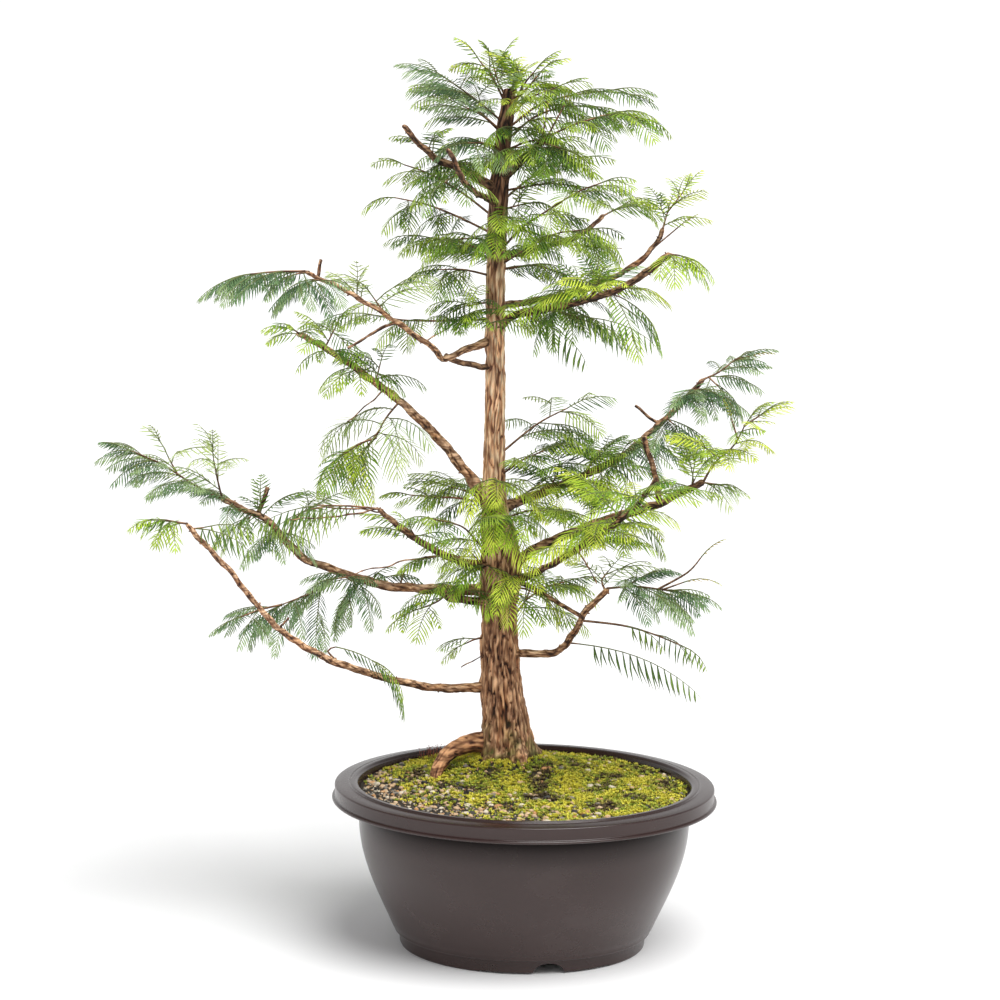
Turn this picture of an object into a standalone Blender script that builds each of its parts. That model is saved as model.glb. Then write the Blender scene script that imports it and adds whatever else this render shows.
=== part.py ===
"""Dawn redwood grown as a bonsai in a round brown plastic pot.

Metres, +Z up. The origin is on the pot's axis, on the surface that the pot stands on.
The front of the plant faces -Y. A bearing is a heading seen from above, in degrees from +X towards +Y,
and a climb is an angle above the horizontal. Tables of the plant hold millimetres and degrees.
"""

import math
import random
from collections import namedtuple

import bmesh
import bpy
from mathutils import Matrix, Vector
from mathutils.bvhtree import BVHTree

MM = 0.001
GAP = 0.3 * MM
SEAT_GAPS = tuple(gap * MM for gap in (0.3, 0.4, 0.5, 0.6, 0.7, 0.8, 0.9))
SEAT_REACH = 0.012
SEAT_SLANT = 0.5
BARK_REACH = 0.05
ABOVE_SOIL = 0.2
UPRIGHT = 0.05
UP = Vector((0.0, 0.0, 1.0))

# Pot: a turned bowl with a broad round rim, a lip under the rim's band and a foot ring
LIP_RADIUS = 0.1275
LIP_BASE = 0.097
LIP_THICKNESS = 0.002
BAND_RADIUS = 0.1258
RIM_INNER_RADIUS = 0.110
RIM_TOP = 0.109
RIM_ROUND = 0.0025
RIM_CREST_RADIUS = 0.115
RIM_STEP_RADIUS = 0.1165
RIM_STEP_HEIGHT = 0.108
RIM_EDGE_HEIGHT = 0.1073
RIM_EDGE_ROUND = 0.0013
RIM_UNDERSIDE = 0.1051
RIM_BASE = 0.098
BOWL_TOP_RADIUS = 0.1092
BOWL_TOP = 0.085
BOWL_FOOT_RADIUS = 0.085
BOWL_CURVE = 1.12
BOWL_LEVELS = (0.014, 0.026, 0.042, 0.062, BOWL_TOP)
FOOT_RADIUS = 0.0815
FOOT_HEIGHT = 0.009
FOOT_WALL = 0.005
POT_WALL = 0.003
POT_FLOOR = 0.011
DRAFT = 0.001
POT_SIDES = 24
SHARP_ANGLE = 35

# Each third of the foot has a drain notch in a wide shallow relief, and a drain hole through the floor
FOOT_COUNT = 3
FIRST_NOTCH_BEARING = 282
NOTCH_WIDTH = 0.021
NOTCH_HEIGHT = 0.0073
NOTCH_DEPTH = 0.036
NOTCH_INSET = 0.012
NOTCH_SIDES = 16
RELIEF_WIDTH = 0.086
RELIEF_HEIGHT = 0.0013
DRAIN_RADIUS = 0.007
DRAIN_LENGTH = 0.012
DRAIN_PLACE = 0.050
DRAIN_SIDES = 10
PAD_RADIUS = 0.013

# Soil: just under the rim at the pot's wall and heaped round the trunk
SOIL_EDGE = 0.106
SOIL_RADIUS = 0.1094
SOIL_RINGS = (1.0, 0.85, 0.7, 0.55, 0.42, 0.3, 0.15, 0)
GROUND = 0.119
HEAP_FLAT_RADIUS = 0.023
HEAP_FALL = 0.018

# Trunk: height above the ground, sideways place and diameter, and how far back it stands
TRUNK_KNOTS = (
    (0, -11, 39),
    (7, -11.7, 34),
    (24, -13.7, 30),
    (48, -16.7, 26.5),
    (92, -18.7, 23.5),
    (122, -18.2, 25.5),
    (152, -20.2, 22),
    (172, -23.2, 15.5),
    (245, -23.7, 13),
    (316, -24.7, 12),
    (361, -23.7, 12.5),
    (404, -21.7, 10.5),
    (437, -17.7, 8.5),
    (444, -16.7, 8),
)
TRUNK_DEPTH = 45
TRUNK_SWAY = 3
TRUNK_SWAY_HEIGHT = 70
TRUNK_SIDES = 12
FLARE_LOBES = 5
FLARE_DEPTH = 0.13
FLARE_HEIGHT = 22
FLARE_TURN = 1.0
ROOT_FOOT = (11, 190)
ROOT_THICKNESS = (11, 6)
ROOT_RUN = ((14, 195, -12), (14, 212, -24), (15, 236, -32))

LIMB_SIDES = 6
TWIG_SIDES = 3

# Boughs: foot (height above the ground, bearing), thickness at foot and tip, and the stretches of the run
Bough = namedtuple("Bough", "name foot thickness run")
BOUGHS = (
    Bough("bough_left_low", (44, 190), (6, 3),
          ((30, 199, 1), (31, 209, 13), (57, 214, 20), (46, 211, 32), (54, 214, 48), (45, 209, 47))),
    Bough("bough_left_long", (109, 170), (7.5, 3.8),
          ((28, 180, 1), (31, 171, 0), (40, 165, 11), (29, 170, 21), (32, 167, 43), (36, 163, 22))),
    Bough("bough_left_mid", (127, 206), (6, 3),
          ((23, 213, 14), (25, 207, 27), (24, 212, 34), (21, 215, 38))),
    Bough("bough_left_rising", (174, 165), (8, 3.6),
          ((23, 175, 51), (24, 162, 48), (34, 169, 42), (46, 164, 34), (42, 165, 28))),
    Bough("bough_left_upper", (278, 215), (5, 2.5),
          ((18, 212, -16), (18, 215, -17), (16, 232, 36), (34, 223, 29), (36, 219, 29), (43, 211, 25))),
    Bough("bough_crown_left", (380, 214), (6, 3.2),
          ((25, 205, 27), (21, 211, 22), (13, 224, 30), (23, 223, 39))),
    Bough("bough_crown_front", (370, 248), (4.2, 3),
          ((32, 242, 16), (24, 247, 27), (28, 249, 40))),
    Bough("bough_crown_right", (390, 330), (6, 4),
          ((9, 358, 39), (13, 330, 38), (15, 332, 45))),
    Bough("bough_right_high", (334, 42), (5, 3),
          ((24, 36, 8), (39, 41, 11), (31, 44, 25))),
    Bough("bough_right_upper", (290, 320), (5.4, 4),
          ((15, 344, 31), (40, 321, 11), (45, 316, 17), (39, 313, 27), (15, 310, 32))),
    Bough("bough_right_upper_back", (301, 44), (4.6, 3),
          ((44, 49, 4), (35, 36, 7), (42, 23, 25), (18, 23, 43), (12, 359, 69))),
    Bough("bough_right_rising", (166, 34), (6.6, 3.6),
          ((28, 29, 16), (27, 35, 15), (40, 32, 19), (44, 33, 33), (42, 28, 41))),
    Bough("bough_right_long", (130, 340), (6.6, 4.4),
          ((22, 348, 34), (30, 338, 25), (28, 338, 22), (28, 338, 20), (38, 333, 28))),
    Bough("bough_right_front", (116, 315), (5, 2.6),
          ((43, 311, 25), (48, 315, 30), (44, 306, 32), (32, 302, 43))),
    Bough("bough_right_low", (68, 332), (5.2, 3.8),
          ((25, 332, 6), (11, 331, 24), (11, 319, 48), (22, 307, 54), (16, 333, 48), (11, 318, 45))),
)

# Masses of needles. The host is a bough, with the share of its length, or the trunk, with the height above
# the ground. The run is the stem, and sprays is how many sprays of needles stand on it. Fan is the angle
# between a spray and the stem, lift turns sprays up, droop is how far they bend down, twist is how far each
# is turned round an upright stem, and tint names the needles.
Mass = namedtuple("Mass", "name host at run sprays length fan lift droop twist tint seed")


def mass(name, host, at, run, sprays, length, fan=55, lift=5, droop=40, twist=0, tint="green"):
    """One mass of needles, with a seed taken from its name."""
    seed = sum((place + 1) * ord(letter) for place, letter in enumerate(name))
    return Mass(name, host, at, run, sprays, length, fan, lift, droop, twist, tint, seed)


MASSES = (
    mass("needles_left_low_tip", "bough_left_low", 1.0, ((14, 200, 12),), 4, 34, fan=60, lift=-4, droop=55,
         tint="fresh"),
    mass("needles_left_low_mid", "bough_left_low", 0.5, ((9, 300, 50),), 2, 50, fan=35, lift=-15,
         droop=80, tint="pale"),
    mass("needles_left_long_tip", "bough_left_long", 1.0, ((22, 178, 24), (24, 184, 28), (14, 184, 20)), 7,
         48, fan=50, lift=-12, droop=55, tint="blue"),
    mass("needles_left_long_top", "bough_left_long", 0.94, ((18, 250, 62), (14, 230, 75)), 5, 36,
         twist=100, lift=8, droop=50, tint="pale"),
    mass("needles_left_long_hang", "bough_left_long", 0.5, ((22, 215, -28), (26, 200, -20)), 6, 45,
         fan=45, lift=-12, droop=45, tint="blue"),
    mass("needles_left_mid_tip", "bough_left_mid", 1.0, ((18, 180, 5), (22, 178, 0)), 4, 50, fan=32,
         lift=-8, droop=30, tint="comb"),
    mass("needles_left_fork", "trunk", 134, ((20, 236, 38), (18, 226, 38), (24, 219, 16)), 5, 38,
         fan=58, droop=50, tint="green"),
    mass("needles_left_back", "trunk", 168, ((24, 142, 2), (23, 140, -4), (18, 147, -1)), 4, 38,
         fan=60, lift=-8, droop=45, tint="green"),
    mass("needles_left_rising_hang", "bough_left_rising", 0.5, ((16, 215, -45), (14, 205, -62)), 5, 50,
         fan=70, lift=20, droop=70, tint="pale"),
    mass("needles_left_rising_tip", "bough_left_rising", 0.86, ((10, 250, 50),), 5, 38, fan=70, twist=70,
         lift=0, droop=60, tint="fresh"),
    mass("needles_left_upper_tip", "bough_left_upper", 1.0, ((18, 196, -4), (18, 190, -10)), 6, 50,
         fan=44, droop=28, tint="blue"),
    mass("needles_left_upper_mid", "bough_left_upper", 0.6, ((12, 180, 55),), 4, 40, fan=75, twist=60,
         lift=0, droop=60, tint="pale"),
    mass("needles_left_thin", "trunk", 292, ((34, 150, -5), (30, 155, -2), (26, 150, 5)), 5, 40,
         fan=62, lift=0, droop=65, tint="green"),
    mass("needles_crown_blue", "trunk", 424, ((24, 205, 36), (20, 196, 34)), 6, 48, fan=46, lift=0,
         droop=38, tint="blue"),
    mass("needles_crown_left", "bough_crown_left", 0.55, ((10, 160, 40),), 4, 30, fan=70, twist=50,
         lift=-5, droop=55, tint="green"),
    mass("needles_left_high", "trunk", 350, ((24, 156, 22), (24, 154, 17), (26, 148, 8)), 6, 38,
         fan=62, lift=-5, droop=62, tint="green"),
    mass("needles_left_inner", "trunk", 322, ((18, 205, 12), (16, 195, 0)), 5, 40, fan=62, lift=-4,
         droop=52, tint="green"),
    mass("needles_crown_top", "trunk", 441, ((9, 195, 62), (8, 160, 72)), 4, 30, fan=60, twist=100,
         lift=4, droop=50, tint="lime"),
    mass("needles_crown_top_right", "trunk", 436, ((12, 335, 44), (11, 340, 50)), 5, 34, fan=58, twist=100,
         lift=0, droop=55, tint="lime"),
    mass("needles_crown_right", "bough_crown_right", 1.0, ((20, 338, 24), (22, 344, 18)), 6, 42, fan=55,
         lift=0, droop=65, tint="green"),
    mass("needles_crown_right_far", "trunk", 420, ((30, 34, 30), (34, 12, 12), (16, 0, 0)), 6, 40, fan=55,
         lift=0, droop=38, tint="deep"),
    mass("needles_right_mid", "trunk", 340, ((22, 315, 40), (18, 320, 30), (34, 319, 28), (24, 313, 18)),
         7, 40, fan=60, lift=0, droop=55, tint="green"),
    mass("needles_right_high", "bough_right_high", 1.0, ((16, 36, 22),), 4, 40, fan=65, droop=65,
         tint="green"),
    mass("needles_right_upper_mid", "bough_right_upper", 0.4, ((10, 300, 50),), 5, 40, fan=75, twist=60,
         lift=5, droop=65, tint="fresh"),
    mass("needles_right_upper_tip", "bough_right_upper", 1.0, ((14, 320, 20),), 5, 32, fan=60, lift=-5,
         droop=45, tint="fresh"),
    mass("needles_right_upper_hang", "bough_right_upper", 0.66, ((9, 355, -10),), 2, 58, fan=25, lift=10,
         droop=80, tint="green"),
    mass("needles_right_upper_back", "bough_right_upper_back", 1.0, ((14, 120, 55),), 5, 36, fan=65,
         twist=80, lift=4, droop=50, tint="lime"),
    mass("needles_front_high", "trunk", 357, ((12, 268, 25),), 3, 38, fan=42, lift=-15, droop=65,
         tint="fresh"),
    mass("needles_front_upper", "trunk", 296, ((12, 285, 25),), 4, 40, fan=75, lift=-5, droop=60,
         tint="fresh"),
    mass("needles_front_mid", "trunk", 184, ((14, 272, 20),), 4, 44, fan=50, lift=-20, droop=60,
         tint="lime"),
    mass("needles_front_low", "trunk", 119, ((14, 300, 22),), 4, 42, fan=60, lift=-14, droop=60,
         tint="lime"),
    mass("needles_right_rising_tip", "bough_right_rising", 1.0, ((14, 20, 28), (16, 8, 18), (12, 4, 20)),
         6, 46, fan=48, lift=-24, droop=50, tint="blue"),
    mass("needles_right_rising_mid", "bough_right_rising", 0.36, ((12, 300, 42),), 5, 44, fan=70,
         twist=60, lift=0, droop=45, tint="deep"),
    mass("needles_right_long_tip", "bough_right_long", 1.0, ((14, 328, 58), (18, 340, 45), (16, 326, 60)),
         6, 38, fan=65, lift=-5, droop=50, tint="lime"),
    mass("needles_right_front", "bough_right_front", 0.66, ((12, 290, 52),), 6, 50, fan=75, twist=40,
         lift=-5, droop=55, tint="lime"),
    mass("needles_right_low_tip", "bough_right_low", 1.0, ((18, 352, 6), (18, 350, -4)), 6, 48, fan=46,
         lift=0, droop=48, tint="blue"),
    mass("needles_right_low_hang", "bough_right_low", 0.52, ((10, 345, -5), (30, 340, 0)), 4, 58, fan=24,
         lift=-6, droop=45, tint="comb"),
    mass("needles_back_low", "trunk", 86, ((34, 70, 10), (32, 78, 16), (24, 84, 10)), 5, 46, fan=60,
         droop=60, tint="green"),
    mass("needles_back_mid", "trunk", 146, ((36, 98, 20), (34, 104, 14), (22, 98, 8)), 5, 48, fan=60,
         droop=60, tint="green"),
    mass("needles_back_high", "trunk", 318, ((32, 84, 18), (28, 92, 14)), 5, 44, fan=60, droop=60,
         tint="green"),
)

# Sprays of needles: where on the stem they start, how their sizes and headings scatter, and how they bend down
FIRST_SPRAY = 0.2
SPRAY_SIZES = (0.78, 0.3)
LENGTH_SCATTER = 0.12
DROOP_SCATTER = 0.2
TURN_SCATTER = 16
FAN_SCATTER = 9
BEARING_SCATTER = 5
SPRAY_ROLL = 34
DROOP_CURVE = 1.3
STEEPEST = -86

# A spray's blade: its spine and its teeth, as shares of its length, of its height and of its half width
TEETH = 4
SPRAY_WIDTH = 0.27
SPINE_HALF_WIDTH = 0.8
SPINE_HEIGHT = 1.1
SPINE_BELLY = 0.4
SPINE_THINNING = 0.5
TOOTH_SHORTEST = 0.55
TOOTH_SWELL = (0.15, 0.8)
TOOTH_LEAN = 0.85
TOOTH_SAG = 0.15
SPRAY_SPACE = 1.6
STEM_THICKNESS = (2.4, 1.6)
STEM_SHARE = 1.5
TRIES = ((0, 0), (14, 6), (-14, 6), (26, -8), (-26, -8), (8, 22), (-8, -22))

# Materials: colour, roughness
FINISHES = {
    "pot_plastic": ((0.095, 0.070, 0.064), 0.42),
    "soil": ((0.19, 0.20, 0.06), 0.95),
    "bark": ((0.20, 0.115, 0.065), 0.9),
    "bough_bark": ((0.22, 0.12, 0.065), 0.85),
    "blue": ((0.13, 0.25, 0.15), 0.6),
    "green": ((0.16, 0.33, 0.07), 0.6),
    "deep": ((0.09, 0.22, 0.05), 0.6),
    "pale": ((0.27, 0.43, 0.14), 0.6),
    "fresh": ((0.24, 0.47, 0.07), 0.6),
    "lime": ((0.36, 0.58, 0.09), 0.6),
    "comb": ((0.20, 0.31, 0.09), 0.6),
}


def clear_scene():
    for obj in list(bpy.data.objects):
        bpy.data.objects.remove(obj, do_unlink=True)


def finish_material(name):
    """A plain material of the named finish, made once."""
    found = bpy.data.materials.get(name)
    if found:
        return found
    colour, roughness = FINISHES[name]
    material = bpy.data.materials.new(name)
    material.use_nodes = True
    shader = material.node_tree.nodes["Principled BSDF"]
    shader.inputs["Base Color"].default_value = (*colour, 1.0)
    shader.inputs["Roughness"].default_value = roughness
    material.diffuse_color = (*colour, 1.0)
    return material


def add_object(name, mesh, finish=None):
    obj = bpy.data.objects.new(name, mesh)
    bpy.context.scene.collection.objects.link(obj)
    if finish:
        mesh.materials.clear()
        mesh.materials.append(finish_material(finish))
    return obj


def mesh_of(points, faces, name="shape"):
    """A closed mesh with its faces turned outwards."""
    mesh = bpy.data.meshes.new(name)
    mesh.from_pydata([tuple(point) for point in points], [], faces)
    shape = bmesh.new()
    shape.from_mesh(mesh)
    bmesh.ops.recalc_face_normals(shape, faces=shape.faces)
    shape.to_mesh(mesh)
    shape.free()
    return mesh


def tree_of(mesh):
    """A search tree of a mesh, for rays and for telling what touches."""
    points = [vertex.co.copy() for vertex in mesh.vertices]
    faces = [tuple(polygon.vertices) for polygon in mesh.polygons]
    return BVHTree.FromPolygons(points, faces)


def heading(bearing, climb):
    """The unit vector of a bearing and a climb in degrees."""
    turn, rise = math.radians(bearing), math.radians(climb)
    return Vector((math.cos(turn) * math.cos(rise), math.sin(turn) * math.cos(rise), math.sin(rise)))


def run_knots(start, run):
    """The ends of the stretches of a run, each a length in millimetres, a bearing and a climb."""
    knots = [Vector(start)]
    for length, bearing, climb in run:
        knots.append(knots[-1] + heading(bearing, climb) * length * MM)
    return knots


def tangents(line):
    """The direction of the line at each of its points."""
    last = len(line) - 1
    return [(line[min(i + 1, last)] - line[max(i - 1, 0)]).normalized() for i in range(len(line))]


def across(direction):
    """Two unit vectors square to a direction, the first of them level."""
    side = direction.cross(UP)
    if side.length < UPRIGHT:
        side = Vector((0.0, 1.0, 0.0)).cross(direction)
    side = side.normalized()
    return side, side.cross(direction).normalized()


def point_along(line, share):
    """The point and the direction at a share of a line's points."""
    place = min(max(share, 0.0), 1.0) * (len(line) - 1)
    i = min(int(place), len(line) - 2)
    return line[i].lerp(line[i + 1], place - i), (line[i + 1] - line[i]).normalized()


def tube_mesh(line, radii, sides, seat=None):
    """A closed tube round a line. With a seat, its foot is shaped to lie a gap off that surface."""
    rings = []
    for point, direction, radius in zip(line, tangents(line), radii):
        side, top = across(direction)
        angles = [2 * math.pi * (k + 0.5) / sides for k in range(sides)]
        rings.append([point + (side * math.cos(a) + top * math.sin(a)) * radius for a in angles])
    faces = []
    for i in range(len(rings) - 1):
        for k in range(sides):
            a, b = i * sides + k, i * sides + (k + 1) % sides
            faces.append((a, b, b + sides, a + sides))
    count = sides * len(rings)
    faces.append(tuple(range(sides)))
    faces.append(tuple(reversed(range(count - sides, count))))
    foot, way = rings[0], (line[1] - line[0]).normalized()
    for gap in SEAT_GAPS if seat else ():
        rings[0] = [seated(corner, way, seat, gap) for corner in foot]
        points = [point for ring in rings for point in ring]
        if not BVHTree.FromPolygons(points, faces).overlap(seat):
            break
    return mesh_of([point for ring in rings for point in ring], faces)


def seated(corner, way, seat, gap):
    """A corner of a limb's foot, moved along the limb to lie a gap off the surface."""
    hit, normal, _, _ = seat.ray_cast(corner + way * SEAT_REACH, -way, 2 * SEAT_REACH)
    if hit is None:
        return corner
    return hit + way * gap / max(abs(normal.dot(way)), SEAT_SLANT)


def lathe_mesh(profile, sides):
    """A closed turned shape. The profile holds radius and height, and starts and ends on the axis."""
    points, rings = [], []
    for radius, height in profile:
        if radius == 0:
            rings.append([len(points)])
            points.append(Vector((0.0, 0.0, height)))
            continue
        rings.append(list(range(len(points), len(points) + sides)))
        for k in range(sides):
            turn = 2 * math.pi * k / sides
            points.append(Vector((radius * math.cos(turn), radius * math.sin(turn), height)))
    faces = []
    for a, b in zip(rings, rings[1:]):
        for k in range(sides):
            n = (k + 1) % sides
            if len(a) == 1:
                faces.append((a[0], b[k], b[n]))
            elif len(b) == 1:
                faces.append((a[k], a[n], b[0]))
            else:
                faces.append((a[k], a[n], b[n], b[k]))
    return mesh_of(points, faces)


def bowl_radius(height):
    """The bowl's outer radius, which rounds in from under the rim to the foot."""
    share = min(max((height - FOOT_HEIGHT) / (BOWL_TOP - FOOT_HEIGHT), 0.0), 1.0)
    return BOWL_FOOT_RADIUS + (BOWL_TOP_RADIUS - BOWL_FOOT_RADIUS) * math.sin(share * math.pi / 2) ** BOWL_CURVE


def pot_profile():
    """Radius and height from the middle of the underside, up the outside, over the rim and down to the floor."""
    underside = POT_FLOOR - POT_WALL
    lip_top = LIP_BASE + LIP_THICKNESS
    pad = [(0, 0), (PAD_RADIUS, 0), (PAD_RADIUS + DRAFT, underside)]
    foot = [(FOOT_RADIUS - FOOT_WALL - DRAFT, underside), (FOOT_RADIUS - FOOT_WALL, 0)]
    foot += [(FOOT_RADIUS, 0), (FOOT_RADIUS, FOOT_HEIGHT)]
    outside = [(bowl_radius(z), z) for z in (*BOWL_LEVELS, LIP_BASE)]
    under_rim = [(RIM_INNER_RADIUS + POT_WALL, RIM_UNDERSIDE), (BAND_RADIUS - POT_WALL, RIM_UNDERSIDE)]
    lip = [(BAND_RADIUS - POT_WALL / 2, LIP_BASE), (LIP_RADIUS - DRAFT / 2, LIP_BASE)]
    lip += [(LIP_RADIUS, LIP_BASE + DRAFT), (BAND_RADIUS, lip_top + DRAFT)]
    edge = BAND_RADIUS - DRAFT / 2
    rim = [(edge, RIM_EDGE_HEIGHT - RIM_EDGE_ROUND), (edge - RIM_EDGE_ROUND, RIM_EDGE_HEIGHT)]
    rim += [(RIM_STEP_RADIUS, RIM_STEP_HEIGHT), (RIM_CREST_RADIUS, RIM_TOP)]
    rim += [(RIM_INNER_RADIUS + RIM_ROUND, RIM_TOP), (RIM_INNER_RADIUS, RIM_TOP - RIM_ROUND)]
    rim += [(BOWL_TOP_RADIUS - POT_WALL, RIM_BASE)]
    inside = [(bowl_radius(z) - POT_WALL, z) for z in reversed(BOWL_LEVELS)]
    floor = [(BOWL_FOOT_RADIUS - FOOT_WALL, POT_FLOOR), (0, POT_FLOOR)]
    return pad + foot + outside + under_rim + lip + rim + inside + floor


def fused(name, meshes, operation="UNION", solver="EXACT"):
    """The first mesh joined with the others, or cut by them, as one mesh."""
    base = add_object(name + "_base", meshes[0])
    helpers = bpy.data.collections.new(name + "_helpers")
    bpy.context.scene.collection.children.link(helpers)
    others = []
    for mesh in meshes[1:]:
        other = bpy.data.objects.new(name + "_helper", mesh)
        helpers.objects.link(other)
        others.append(other)
    modifier = base.modifiers.new("fuse", "BOOLEAN")
    modifier.operation = operation
    modifier.solver = solver
    modifier.operand_type = "COLLECTION"
    modifier.collection = helpers
    graph = bpy.context.evaluated_depsgraph_get()
    mesh = bpy.data.meshes.new_from_object(base.evaluated_get(graph))
    for obj in [base, *others]:
        bpy.data.objects.remove(obj, do_unlink=True)
    bpy.data.collections.remove(helpers)
    return mesh


def shape_volume(faces):
    """The signed volume inside these faces."""
    total = 0.0
    for face in faces:
        corners = [vertex.co for vertex in face.verts]
        for b, c in zip(corners[1:], corners[2:]):
            total += corners[0].dot(b.cross(c)) / 6
    return total


def largest_piece(mesh):
    """Drops loose scraps and sealed hollows, which keeps the one body that the rest stands out of."""
    shape = bmesh.new()
    shape.from_mesh(mesh)
    left = set(shape.faces)
    pieces = []
    while left:
        piece, front = set(), [left.pop()]
        while front:
            face = front.pop()
            piece.add(face)
            for edge in face.edges:
                for near in edge.link_faces:
                    if near in left:
                        left.discard(near)
                        front.append(near)
        pieces.append(piece)
    best = max(pieces, key=lambda piece: shape_volume(piece))
    scraps = [face for piece in pieces if piece is not best for face in piece]
    if scraps:
        bmesh.ops.delete(shape, geom=scraps, context="FACES")
    shape.to_mesh(mesh)
    shape.free()
    return mesh


def box_mesh(size, place):
    """A block of this size, put in place by a matrix."""
    shape = bmesh.new()
    bmesh.ops.create_cube(shape, size=1.0, matrix=place @ Matrix.Diagonal((*size, 1.0)))
    mesh = bpy.data.meshes.new("block")
    shape.to_mesh(mesh)
    shape.free()
    return mesh


def rod_mesh(radius, length, sides, place):
    """An upright rod, put in place by a matrix."""
    shape = bmesh.new()
    bmesh.ops.create_cone(shape, cap_ends=True, segments=sides, radius1=radius, radius2=radius, depth=length,
                          matrix=place)
    mesh = bpy.data.meshes.new("rod")
    shape.to_mesh(mesh)
    shape.free()
    return mesh


def build_pot():
    """The pot, with a drain notch, a shallow relief and a drain hole at each third of its foot."""
    cutters = []
    for k in range(FOOT_COUNT):
        turn = Matrix.Rotation(math.radians(FIRST_NOTCH_BEARING + 360 * k / FOOT_COUNT), 4, "Z")
        ring = turn @ Matrix.Translation((FOOT_RADIUS - NOTCH_INSET, 0, 0))
        cutters.append(box_mesh((NOTCH_DEPTH, RELIEF_WIDTH, 2 * RELIEF_HEIGHT), ring))
        arch = Matrix.Diagonal((1, NOTCH_WIDTH / 2, NOTCH_HEIGHT, 1)) @ Matrix.Rotation(math.pi / 2, 4, "Y")
        cutters.append(rod_mesh(1.0, NOTCH_DEPTH, NOTCH_SIDES, ring @ arch))
        drain = turn @ Matrix.Translation((DRAIN_PLACE, 0, POT_FLOOR))
        cutters.append(rod_mesh(DRAIN_RADIUS, DRAIN_LENGTH, DRAIN_SIDES, drain))
    mesh = fused("pot", [lathe_mesh(pot_profile(), POT_SIDES), *cutters], "DIFFERENCE")
    pot = add_object("pot", mesh, "pot_plastic")
    pot.data.shade_smooth()
    pot.data.set_sharp_from_angle(angle=math.radians(SHARP_ANGLE))
    return pot


def soil_height(x, y):
    """The soil's surface: level round the trunk's foot, and falling to the pot's wall."""
    away = math.hypot(x - TRUNK_KNOTS[0][1] * MM, y - TRUNK_DEPTH * MM)
    fall = max(0.0, away - HEAP_FLAT_RADIUS) / HEAP_FALL
    return SOIL_EDGE + (GROUND - GAP - SOIL_EDGE) * math.exp(-fall)


def build_soil():
    """The filling of the pot, a gap inside its wall, heaped round the trunk's foot."""
    side = [(bowl_radius(z) - POT_WALL - GAP, z) for z in (*BOWL_LEVELS, RIM_BASE)]
    top = [(SOIL_RADIUS * share, SOIL_EDGE) for share in SOIL_RINGS]
    floor = [(0, POT_FLOOR + GAP), (BOWL_FOOT_RADIUS - FOOT_WALL - 2 * GAP, POT_FLOOR + GAP)]
    mesh = lathe_mesh(floor + side + top, POT_SIDES)
    for vertex in mesh.vertices:
        if vertex.co.z > RIM_BASE + GAP:
            vertex.co.z = soil_height(vertex.co.x, vertex.co.y)
    return add_object("soil", mesh, "soil")


def trunk_line():
    """Points up the middle of the trunk, and the radius at each."""
    line = []
    for height, sideways, _ in TRUNK_KNOTS:
        back = TRUNK_DEPTH + TRUNK_SWAY * math.sin(height / TRUNK_SWAY_HEIGHT)
        line.append(Vector((sideways * MM, back * MM, GROUND + height * MM)))
    return line, [width * MM / 2 for _, _, width in TRUNK_KNOTS]


def build_trunk():
    """The trunk, upright and tapering, with a lobed flare over its roots and a blunt cut top."""
    line, radii = trunk_line()
    points, faces = [], []
    for centre, radius in zip(line, radii):
        rise = (centre.z - GROUND) / MM
        flare = FLARE_DEPTH * math.exp(-rise / FLARE_HEIGHT)
        for k in range(TRUNK_SIDES):
            turn = 2 * math.pi * k / TRUNK_SIDES
            reach = radius * (1 + flare * math.sin(FLARE_LOBES * turn + FLARE_TURN))
            points.append(centre + Vector((math.cos(turn), math.sin(turn), 0)) * reach)
    for i in range(len(line) - 1):
        for k in range(TRUNK_SIDES):
            a, b = i * TRUNK_SIDES + k, i * TRUNK_SIDES + (k + 1) % TRUNK_SIDES
            faces.append((a, b, b + TRUNK_SIDES, a + TRUNK_SIDES))
    faces.append(tuple(range(TRUNK_SIDES)))
    faces.append(tuple(range(len(points) - TRUNK_SIDES, len(points))))
    return add_object("trunk", mesh_of(points, faces), "bark")


def trunk_at(height):
    """The middle of the trunk at a height above the ground in millimetres."""
    line, _ = trunk_line()
    goal = GROUND + height * MM
    for a, b in zip(line, line[1:]):
        if a.z <= goal <= b.z:
            return a.lerp(b, (goal - a.z) / (b.z - a.z))
    return line[-1]


def foot_on_trunk(height, bearing, trunk_tree):
    """The point on the bark at a height above the ground, on the side of this bearing."""
    way = heading(bearing, 0)
    centre = trunk_at(height)
    return trunk_tree.ray_cast(centre + way * BARK_REACH, -way)[0] or centre


def tapered(thickness, count):
    """The radius at each of this many points, in metres."""
    foot, tip = (width * MM / 2 for width in thickness)
    return [foot + (tip - foot) * i / (count - 1) for i in range(count)]


def build_root(trunk_tree, soil_tree):
    """The one root that shows, which leaves the trunk's left side and dips to the soil."""
    line = run_knots(foot_on_trunk(*ROOT_FOOT, trunk_tree), ROOT_RUN)
    mesh = tube_mesh(line, tapered(ROOT_THICKNESS, len(line)), LIMB_SIDES, trunk_tree)
    clearance = 2 * GAP
    for vertex in mesh.vertices:
        hit = soil_tree.ray_cast(Vector((vertex.co.x, vertex.co.y, ABOVE_SOIL)), -UP)[0]
        if hit and vertex.co.z < hit.z + clearance:
            vertex.co.z = hit.z + clearance
    return add_object("surface_root", mesh, "bark")


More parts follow.
